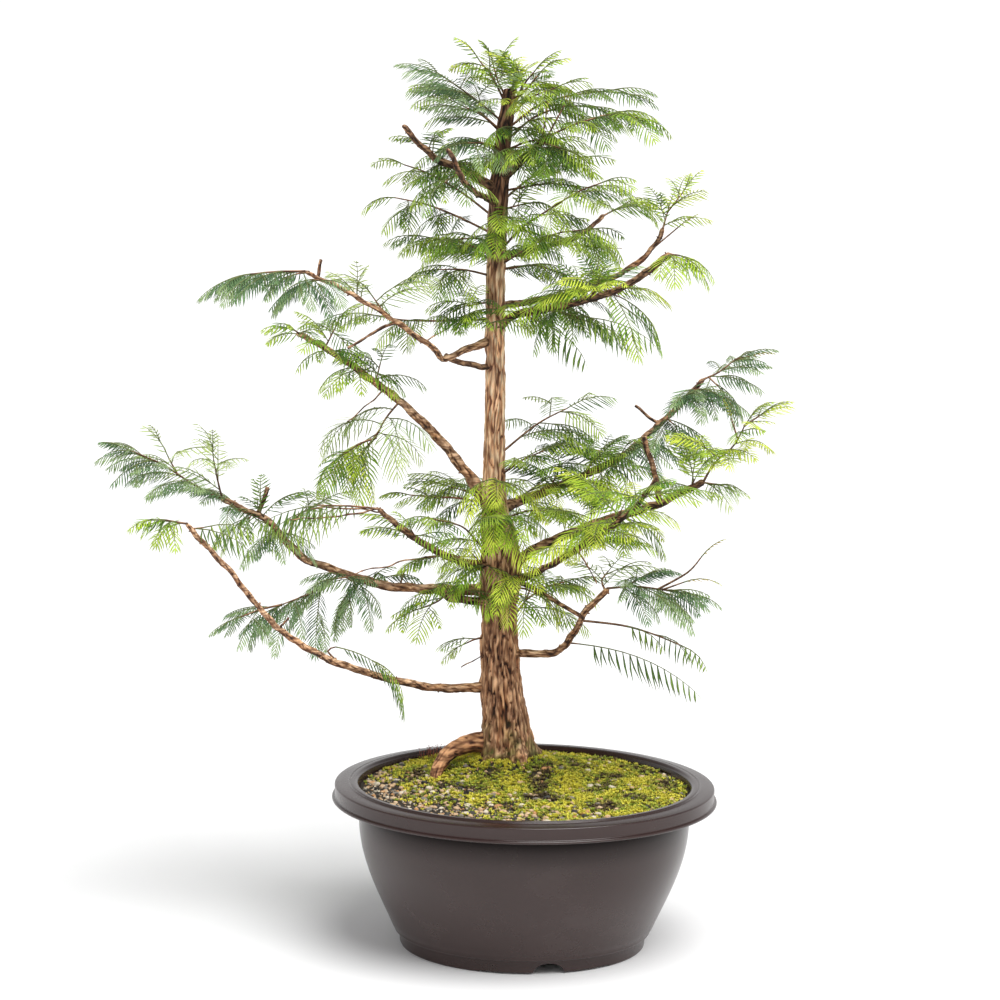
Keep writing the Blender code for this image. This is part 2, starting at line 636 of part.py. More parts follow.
def build_boughs(trunk_tree):
    """Every bough as one tapering limb. Returns the objects, and the line and radii of each."""
    limbs, lines = [], {}
    for bough in BOUGHS:
        line = run_knots(foot_on_trunk(*bough.foot, trunk_tree), bough.run)
        radii = tapered(bough.thickness, len(line))
        mesh = tube_mesh(line, radii, LIMB_SIDES, trunk_tree)
        limbs.append(add_object(bough.name, mesh, "bough_bark"))
        lines[bough.name] = (line, radii)
    return limbs, lines


Spray = namedtuple("Spray", "root bearing climb length droop roll")


def shoot_sprays(shoot, plan, rng):
    """The sprays along one shoot: in turn to the left and right, and one that carries on from its tip."""
    sprays = []
    count = plan.sprays
    for i in range(count):
        share = FIRST_SPRAY + (1 - FIRST_SPRAY) * (i + 1) / count if count > 1 else 1.0
        at, way = point_along(shoot, min(share, 1.0))
        side, top = across(way)
        turn = math.radians(plan.twist * i + rng.uniform(-TURN_SCATTER, TURN_SCATTER))
        if i % 2:
            side = -side
        side = side * math.cos(turn) + top * math.sin(turn)
        fan = 0.0 if i == count - 1 else math.radians(plan.fan + rng.uniform(-FAN_SCATTER, FAN_SCATTER))
        out = way * math.cos(fan) + side * math.sin(fan)
        bearing = math.degrees(math.atan2(out.y, out.x)) + rng.uniform(-BEARING_SCATTER, BEARING_SCATTER)
        climb = math.degrees(math.asin(max(-1.0, min(1.0, out.z)))) + plan.lift
        size = SPRAY_SIZES[0] + SPRAY_SIZES[1] * math.sin(math.pi * share)
        length = plan.length * size * rng.uniform(1 - LENGTH_SCATTER, 1 + LENGTH_SCATTER)
        droop = plan.droop * rng.uniform(1 - DROOP_SCATTER, 1 + DROOP_SCATTER)
        sprays.append(Spray(at, bearing, climb, length, droop, rng.uniform(-SPRAY_ROLL, SPRAY_ROLL)))
    return sprays


def spray_frames(spray, stations, turn=0, raise_by=0):
    """Points along a spray's spine as it bends down, with the vectors along, across and over it."""
    step = spray.length * MM / stations
    bearing = spray.bearing + turn
    point, frames = spray.root.copy(), []
    for i in range(stations + 1):
        share = i / stations
        climb = max(spray.climb + raise_by - spray.droop * share ** DROOP_CURVE, STEEPEST)
        along = heading(bearing, climb)
        level = heading(bearing - 90, 0)
        over = level.cross(along)
        roll = math.radians(spray.roll)
        side = level * math.cos(roll) + over * math.sin(roll)
        frames.append((point.copy(), along, side, side.cross(along)))
        point += along * step
    return frames


def blade(frames, length, thick=1.0):
    """A toothed blade: a bare stalk, then a spine with a row of teeth down each side for the needles."""
    half = length * SPRAY_WIDTH * MM
    wide, high = SPINE_HALF_WIDTH * MM, SPINE_HEIGHT * MM * thick
    last = len(frames) - 1
    points, faces, rows = [], [], []
    for i, (at, _, side, over) in enumerate(frames[:-1]):
        slim = 1 - SPINE_THINNING * i / last
        low = over * high * SPINE_BELLY
        rows.append((len(points), len(points) + 1, len(points) + 2))
        points += [at + over * high * slim, at + side * wide * slim - low, at - side * wide * slim - low]
    rows.append((len(points),) * 3)
    points.append(frames[-1][0])
    faces.append(rows[0])
    for i in range(last):
        at, along, side, _ = frames[i]
        (top, left, right), (top2, left2, right2) = rows[i], rows[i + 1]
        closing = i == last - 1
        faces.append((left, right, top2) if closing else (left, right, right2, left2))
        if i == 0:
            faces += [(top, left, left2, top2), (top, right, right2, top2)]
            continue
        share = (i - 0.5) / (last - 1)
        swell = math.sin(math.pi * (TOOTH_SWELL[0] + TOOTH_SWELL[1] * share))
        reach = half * (TOOTH_SHORTEST + (1 - TOOTH_SHORTEST) * swell)
        tooth = at + along * length * MM / last * TOOTH_LEAN - UP * reach * TOOTH_SAG
        for sign, edge, edge2 in ((1, left, left2), (-1, right, right2)):
            tip = len(points)
            points.append(tooth + side * sign * reach)
            faces += [(top, edge, tip), (top, tip, top2), (edge, edge2, tip)]
            if not closing:
                faces.append((top2, tip, edge2))
    return points, faces


def touches(points, faces, others):
    """Whether a shape meets any of the other shapes."""
    own = BVHTree.FromPolygons(points, faces)
    return any(own.overlap(other) for other in others)


def stem_of(plan, lines, trees):
    """A mass's stem: its line, its closed mesh, and the surface that it starts from."""
    seat = trees[plan.host]
    thickness = STEM_THICKNESS
    if plan.host == "trunk":
        start = foot_on_trunk(plan.at, plan.run[0][1], seat)
    else:
        host_line, host_radii = lines[plan.host]
        start, _ = point_along(host_line, plan.at)
        way = heading(*plan.run[0][1:])
        start = seat.ray_cast(start + way * SEAT_REACH, -way)[0] or start
        thickness = (min(thickness[0], STEM_SHARE * host_radii[-1] / MM), thickness[1])
    line = run_knots(start, plan.run)
    return line, tube_mesh(line, tapered(thickness, len(line)), TWIG_SIDES, seat)


def build_mass(plan, lines, trees, taken):
    """One mass: a stem with sprays on it, fused into one body that touches nothing taken before it."""
    rng = random.Random(plan.seed)
    line, stem = stem_of(plan, lines, trees)
    pieces, own = [stem], []
    for spray in shoot_sprays(line, plan, rng):
        for turn, raise_by in TRIES:
            frames = spray_frames(spray, TEETH + 1, turn, raise_by)
            if touches(*blade(frames, spray.length, SPRAY_SPACE), taken):
                continue
            if not touches(*blade(frames[1:], spray.length), own):
                pieces.append(mesh_of(*blade(frames, spray.length)))
                own.append(tree_of(pieces[-1]))
                break
    return add_object(plan.name, largest_piece(fused(plan.name, pieces, solver="MANIFOLD")), plan.tint)


def main():
    clear_scene()
    pot = build_pot()
    soil = build_soil()
    trunk = build_trunk()
    trees = {"trunk": tree_of(trunk.data)}
    soil_tree = tree_of(soil.data)
    root = build_root(trees["trunk"], soil_tree)
    boughs, lines = build_boughs(trees["trunk"])
    for bough in boughs:
        trees[bough.name] = tree_of(bough.data)
    taken = list(trees.values()) + [soil_tree, tree_of(pot.data), tree_of(root.data)]
    for plan in MASSES:
        made = build_mass(plan, lines, trees, taken)
        taken.append(tree_of(made.data))


main()
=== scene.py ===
"""The looks of a dawn redwood grown as a bonsai in a round brown plastic pot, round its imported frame.

Metres, +Z up, in the frame's own coordinates. The front of the plant faces -Y. A bearing is a heading seen
from above, in degrees from +X towards +Y, and a climb is an angle above the horizontal. Tables of the plant
hold millimetres and degrees.
"""

import math
import random
from collections import namedtuple

import bmesh
import bpy
import numpy as np
from mathutils import Matrix, Vector, noise
from mathutils.bvhtree import BVHTree


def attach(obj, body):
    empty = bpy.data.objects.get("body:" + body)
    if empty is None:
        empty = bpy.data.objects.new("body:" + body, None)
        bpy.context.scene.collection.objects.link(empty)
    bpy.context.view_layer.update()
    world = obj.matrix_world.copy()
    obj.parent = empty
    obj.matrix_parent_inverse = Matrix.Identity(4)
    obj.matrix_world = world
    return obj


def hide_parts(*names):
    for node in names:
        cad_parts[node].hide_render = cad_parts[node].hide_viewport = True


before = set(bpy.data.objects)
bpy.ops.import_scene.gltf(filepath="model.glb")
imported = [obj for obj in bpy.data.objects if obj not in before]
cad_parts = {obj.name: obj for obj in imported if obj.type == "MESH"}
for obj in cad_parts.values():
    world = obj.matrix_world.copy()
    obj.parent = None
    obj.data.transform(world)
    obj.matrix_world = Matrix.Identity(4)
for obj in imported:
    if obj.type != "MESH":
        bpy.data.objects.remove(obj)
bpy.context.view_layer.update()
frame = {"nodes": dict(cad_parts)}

MM = 0.001
UP = Vector((0.0, 0.0, 1.0))
BODY = "root"

# Camera, fitted to the rim, inner edge and foot of the pot in the photo. The focal length is in picture widths.
CAMERA_PLACE = (-0.0193, -2.2, 0.6144)
CAMERA_PITCH = 0.14342
CAMERA_ROLL = 0.016
CAMERA_FOCAL = 3.3948
SENSOR_WIDTH = 36
FLOOR_RADIUS = 60
SKY = ((0.24, (1.0, 1.0, 1.0)), (0.5, (0.36, 0.36, 0.37)))
SKY_STRENGTH = 1.05
SUN_PLACE = (0.5, -0.62, 1.6)
SUN_WIDTH = 44
SUN_STRENGTH = 2.9

# Pot
LIP_RADIUS = 0.1275
LIP_BASE = 0.097
LIP_THICKNESS = 0.002
BAND_RADIUS = 0.1258
RIM_INNER_RADIUS = 0.110
# Painted shade under the lip: how much of the pot's colour and gloss is kept at each height, least just below the lip.
UNDER_LIP_PAINTED_SHADE = ((0.076, (1, 1, 1)), (0.088, (0.5, 0.5, 0.5)), (0.0925, (0.1, 0.1, 0.1)), (0.0968, (0.1, 0.1, 0.1)),
             (0.0971, (1, 1, 1)))
RIM_TOP = 0.109
RIM_ROUND = 0.0028
RIM_CREST_RADIUS = 0.115
RIM_STEP_RADIUS = 0.1165
RIM_STEP_HEIGHT = 0.108
RIM_EDGE_HEIGHT = 0.1073
RIM_EDGE_ROUND = 0.0011
RIM_UNDERSIDE = 0.1049
BOWL_TOP_RADIUS = 0.1092
BOWL_TOP = 0.085
BOWL_FOOT_RADIUS = 0.085
BOWL_CURVE = 1.12
FOOT_RADIUS = 0.0815
FOOT_HEIGHT = 0.009
FOOT_WALL = 0.005
POT_WALL = 0.003
POT_FLOOR = 0.011
POT_SIDES = 180
PAD_RADIUS = 0.013
FOOT_COUNT = 3
FIRST_NOTCH_BEARING = 282
NOTCH_WIDTH = 0.021
NOTCH_HEIGHT = 0.0073
NOTCH_DEPTH = 0.036
NOTCH_SIDES = 48
RELIEF_WIDTH = 0.086
RELIEF_HEIGHT = 0.0013
DRAIN_RADIUS = 0.007
DRAIN_PLACE = 0.050

# Soil
SOIL_EDGE = 0.1035
SOIL_HEAP = 0.1155
GROUND = 0.119
HEAP_FLAT_RADIUS = 0.023
HEAP_FALL = 0.02
SOIL_RADIUS = 0.1093
WALL_GAP = 0.0006
GROUND_RINGS = 90
GROUND_SIDES = 180
TUFTS = 9500
STONES = 640
GRITS = 1700
STALKS = 70

# Trunk: height above the ground, sideways place and diameter, and how far back it stands
TRUNK_KNOTS = (
    (0, -11, 39),
    (7, -11.7, 34),
    (24, -13.7, 30),
    (48, -16.7, 26.5),
    (92, -18.7, 23.5),
    (122, -18.2, 25.5),
    (152, -20.2, 22),
    (172, -23.2, 15.5),
    (245, -23.7, 13),
    (316, -24.7, 12),
    (361, -23.7, 12.5),
    (404, -21.7, 10.5),
    (437, -17.7, 8.5),
    (444, -16.7, 8),
)
TRUNK_DEPTH = 45
TRUNK_SWAY = 3
TRUNK_SWAY_HEIGHT = 70
TRUNK_SIDES = 104
TRUNK_STEP = 1.35
TRUNK_SUNK = 10
FLARE_LOBES = 5
FLARE_DEPTH = 0.2
FLARE_HEIGHT = 15
TRUNK_FOOT = ((0.055, 0.021, 0.011), (0.46, 0.22, 0.112), (0.95, 0.59, 0.35))
TRUNK_MIDDLE = ((0.26, 0.115, 0.062), (0.92, 0.53, 0.30), (1.0, 0.80, 0.56))
LOW_BOUGH = ((0.07, 0.03, 0.015), (0.44, 0.235, 0.12), (0.95, 0.64, 0.41))
# Painted shade: darker bark tones for the boughs listed next, which stand in the foliage's shade, and for the twigs.
BOUGH_TONES_IN_PAINTED_SHADE = ((0.02, 0.009, 0.005), (0.17, 0.085, 0.045), (0.62, 0.38, 0.22))
CROWN = ((0.03, 0.012, 0.007), (0.17, 0.08, 0.045), (0.42, 0.22, 0.13))
BOUGHS_IN_PAINTED_SHADE = ("bough_right_rising", "bough_right_long", "bough_right_front", "bough_right_upper", "bough_right_high",
          "bough_crown", "bough_left_mid")
ROOT_TONES = ((0.035, 0.014, 0.008), (0.30, 0.125, 0.06), (0.78, 0.42, 0.21))
UPRIGHT_GRAIN = (1, 1, 0.12)
LEVEL_GRAIN = (0.22, 0.22, 1)
PALE_RISE = (0.21, 0.34)
DARK_RISE = (0.43, 0.50)
GREEN_RISE = (0.119, 0.150)
GREEN_FOOT = (0.13, 0.17, 0.035, 1.0)
ROOT_FOOT = (7, 195)
ROOT_THICKNESS = (14, 6)
ROOT_RUN = ((14, 195, -6), (14, 212, -22), (15, 236, -36))

# Limbs
LIMB_SIDES = 20
LIMB_STEP = 1.4
ROUND_TIP = (0.45, 0.75, 0.92)
WANDER = 1.3
WANDER_PITCH = 0.13
SCAR_PLACE = (60, 268)
SCAR_RADIUS = 1.5
TWIG_SIDES = 7
TWIG_STEP = 2.5

Bough = namedtuple("Bough", "name foot thickness run")
BOUGHS = (
    Bough("bough_left_low", (44, 190), (6, 3),
          ((30, 199, 1), (31, 209, 13), (57, 214, 20), (46, 211, 32), (54, 214, 48), (45, 209, 47))),
    Bough("bough_left_long", (109, 170), (7.5, 3.8),
          ((28, 180, 1), (31, 171, 0), (40, 165, 11), (29, 170, 21), (32, 167, 43), (36, 163, 22))),
    Bough("bough_left_mid", (127, 206), (6, 3),
          ((23, 213, 14), (25, 207, 27), (24, 212, 34), (21, 215, 38))),
    Bough("bough_left_rising", (174, 165), (8, 3.6),
          ((23, 175, 51), (24, 162, 48), (34, 169, 42), (46, 164, 34), (42, 165, 28))),
    Bough("bough_left_upper", (278, 215), (5, 2.5),
          ((18, 212, -16), (18, 215, -17), (16, 232, 36), (34, 223, 29), (36, 219, 29), (43, 211, 25))),
    Bough("bough_crown_left", (380, 214), (6, 3.2),
          ((25, 205, 27), (21, 211, 22), (13, 224, 30), (23, 223, 39))),
    Bough("bough_crown_front", (370, 248), (4.2, 3),
          ((32, 242, 16), (24, 247, 27), (28, 249, 40))),
    Bough("bough_crown_right", (390, 330), (6, 4),
          ((9, 358, 39), (13, 330, 38), (15, 332, 45))),
    Bough("bough_right_high", (334, 42), (5, 3),
          ((24, 36, 8), (39, 41, 11), (31, 44, 25))),
    Bough("bough_right_upper", (290, 320), (5.4, 4),
          ((15, 344, 31), (40, 321, 11), (45, 316, 17), (39, 313, 27), (15, 310, 32))),
    Bough("bough_right_upper_back", (301, 44), (4.6, 3),
          ((44, 49, 4), (35, 36, 7), (42, 23, 25), (18, 23, 43), (12, 359, 69))),
    Bough("bough_right_rising", (166, 34), (6.6, 3.6),
          ((28, 29, 16), (27, 35, 15), (40, 32, 19), (44, 33, 33), (42, 28, 41))),
    Bough("bough_right_long", (130, 340), (6.6, 4.4),
          ((22, 348, 34), (30, 338, 25), (28, 338, 22), (28, 338, 20), (38, 333, 28))),
    Bough("bough_right_front", (116, 315), (5, 2.6),
          ((43, 311, 25), (48, 315, 30), (44, 306, 32), (32, 302, 43))),
    Bough("bough_right_low", (68, 332), (5.2, 3.8),
          ((25, 332, 6), (11, 331, 24), (11, 319, 48), (22, 307, 54), (16, 333, 48), (11, 318, 45))),
)

# Masses of needles, as in the solids: name, host, place on it, stem, sprays on it and their length, then the tint,
# the angle between a spray and the stem, how far sprays are turned up, how far they bend down, and how far each is
# turned round the stem. The host is a bough, with the share of its length, or the trunk, with the height above the
# ground.
Mass = namedtuple("Mass", "name host at run sprays length tint fan lift droop twist thickness",
                  defaults=("green", 55, 5, 40, 0, (2.0, 0.9)))
MASSES = tuple(Mass(*row) for row in (
    ("needles_left_low_tip", "bough_left_low", 1.0, ((14, 200, 12),), 4, 28, "fresh", 60, -4, 60),
    ("needles_left_low_mid", "bough_left_low", 0.42, ((12, 195, 48), (6, 350, 30)), 1, 92, "green", 0, -27, 88),
    ("needles_left_long_tip", "bough_left_long", 1.0, ((22, 178, 27), (24, 184, 33), (14, 184, 24)), 7, 46, "blue",
     50, -4, 48),
    ("needles_left_long_top", "bough_left_long", 1.0, ((18, 250, 62), (14, 230, 75)), 5, 36, "pale", 55, 8, 50, 100),
    ("needles_left_long_hang", "bough_left_long", 0.5, ((22, 215, -28), (26, 200, -20)), 6, 45, "blue", 45, -12, 45),
    ("needles_left_mid_tip", "bough_left_mid", 1.0, ((18, 180, 5), (22, 178, 0)), 4, 50, "comb", 32, -8, 30),
    ("needles_left_fork", "trunk", 134, ((20, 236, 38), (18, 226, 38), (24, 219, 16)), 5, 38, "green", 58, 5, 50),
    ("needles_left_back", "trunk", 168, ((24, 142, 2), (23, 140, -4), (18, 147, -1)), 4, 30, "green", 60, 10, 45),
    ("needles_left_rising_hang", "bough_left_rising", 0.5, ((16, 215, -45), (14, 205, -62)), 5, 50, "pale", 70, 20, 70),
    ("needles_left_rising_tip", "bough_left_rising", 0.86, ((14, 340, 62),), 5, 34, "fresh", 75, 5, 60, 75),
    ("needles_left_upper_tip", "bough_left_upper", 1.0, ((16, 196, 0), (18, 192, -5)), 6, 46, "blue", 40, -4, 42),
    ("needles_left_upper_mid", "bough_left_upper", 0.6, ((12, 180, 55),), 4, 40, "pale", 75, 0, 60, 60),
    ("needles_left_thin", "trunk", 292, ((34, 150, -5), (30, 155, -2), (26, 150, 5)), 5, 40, "green", 62, 0, 65),
    ("needles_crown_blue", "trunk", 424, ((24, 205, 36), (20, 196, 34)), 6, 44, "blue", 46, 0, 38),
    ("needles_crown_left", "bough_crown_left", 0.55, ((10, 160, 40),), 4, 30, "green", 70, -5, 55, 50),
    ("needles_left_high", "trunk", 350, ((24, 156, 22), (24, 154, 17), (26, 148, 8)), 6, 34, "green", 62, -5, 62),
    ("needles_left_inner", "trunk", 322, ((18, 205, 12), (16, 195, 0)), 5, 34, "green", 62, 0, 60),
    ("needles_crown_top", "trunk", 441, ((9, 195, 62), (8, 160, 72)), 4, 30, "lime", 60, 4, 50, 100),
    ("needles_crown_top_right", "trunk", 436, ((12, 335, 44), (11, 340, 50)), 5, 32, "lime", 58, 0, 55, 100),
    ("needles_crown_right", "bough_crown_right", 1.0, ((20, 338, 24), (22, 344, 18)), 6, 38, "green", 55, 0, 60),
    ("needles_crown_right_far", "trunk", 420, ((30, 34, 30), (34, 12, 12), (16, 0, 0)), 6, 38, "deep", 55, 0, 38),
    ("needles_right_mid", "trunk", 340, ((22, 315, 40), (18, 320, 30), (34, 319, 28), (24, 313, 18)), 7, 38, "green",
     60, 0, 55),
    ("needles_right_high", "bough_right_high", 1.0, ((16, 36, 22),), 4, 38, "green", 65, 5, 65),
    ("needles_right_upper_mid", "bough_right_upper", 0.4, ((10, 300, 50),), 5, 38, "fresh", 75, 5, 65, 60),
    ("needles_right_upper_tip", "bough_right_upper", 1.0, ((6, 320, 0),), 5, 30, "fresh", 60, -12, 50),
    ("needles_right_upper_hang", "bough_right_upper", 0.12, ((9, 335, -28),), 1, 66, "comb", 25, 14, 50),
    ("needles_right_upper_back", "bough_right_upper_back", 1.0, ((12, 60, 60),), 4, 28, "lime", 60, 4, 50, 80),
    ("needles_front_high", "trunk", 357, ((12, 268, 25),), 3, 36, "fresh", 42, -15, 65),
    ("needles_front_upper", "trunk", 296, ((12, 285, 25),), 4, 38, "fresh", 75, -5, 60),
    ("needles_front_mid", "trunk", 184, ((14, 272, 20),), 4, 40, "lime", 42, -24, 60),
    ("needles_front_low", "trunk", 119, ((14, 300, 22),), 4, 36, "lime", 60, -14, 60),
    ("needles_right_rising_tip", "bough_right_rising", 1.0, ((12, 22, 22), (14, 8, 38)), 6, 36, "blue",
     46, -8, 40),
    ("needles_right_rising_mid", "bough_right_rising", 0.36, ((12, 300, 42),), 5, 40, "deep", 70, 0, 45, 60),
    ("needles_right_long_tip", "bough_right_long", 1.0, ((14, 328, 58), (18, 340, 45), (16, 326, 60)), 6, 34, "lime",
     65, -5, 50),
    ("needles_right_front", "bough_right_front", 0.66, ((12, 290, 52),), 6, 46, "lime", 75, -5, 55, 40),
    ("needles_right_low_tip", "bough_right_low", 1.0, ((18, 352, 6), (18, 350, -4)), 6, 46, "blue", 46, 0, 48),
    ("needles_right_low_hang", "bough_right_low", 0.45, ((8, 345, -3),), 1, 116, "comb", 0, 0, 40),
    ("needles_back_low", "trunk", 86, ((34, 70, 10), (32, 78, 16), (24, 84, 10)), 5, 44, "green", 60, 5, 60),
    ("needles_back_mid", "trunk", 146, ((36, 98, 20), (34, 104, 14), (22, 98, 8)), 5, 46, "green", 60, 5, 60),
    ("needles_back_high", "trunk", 318, ((32, 84, 18), (28, 92, 14)), 5, 42, "green", 60, 5, 60),
))

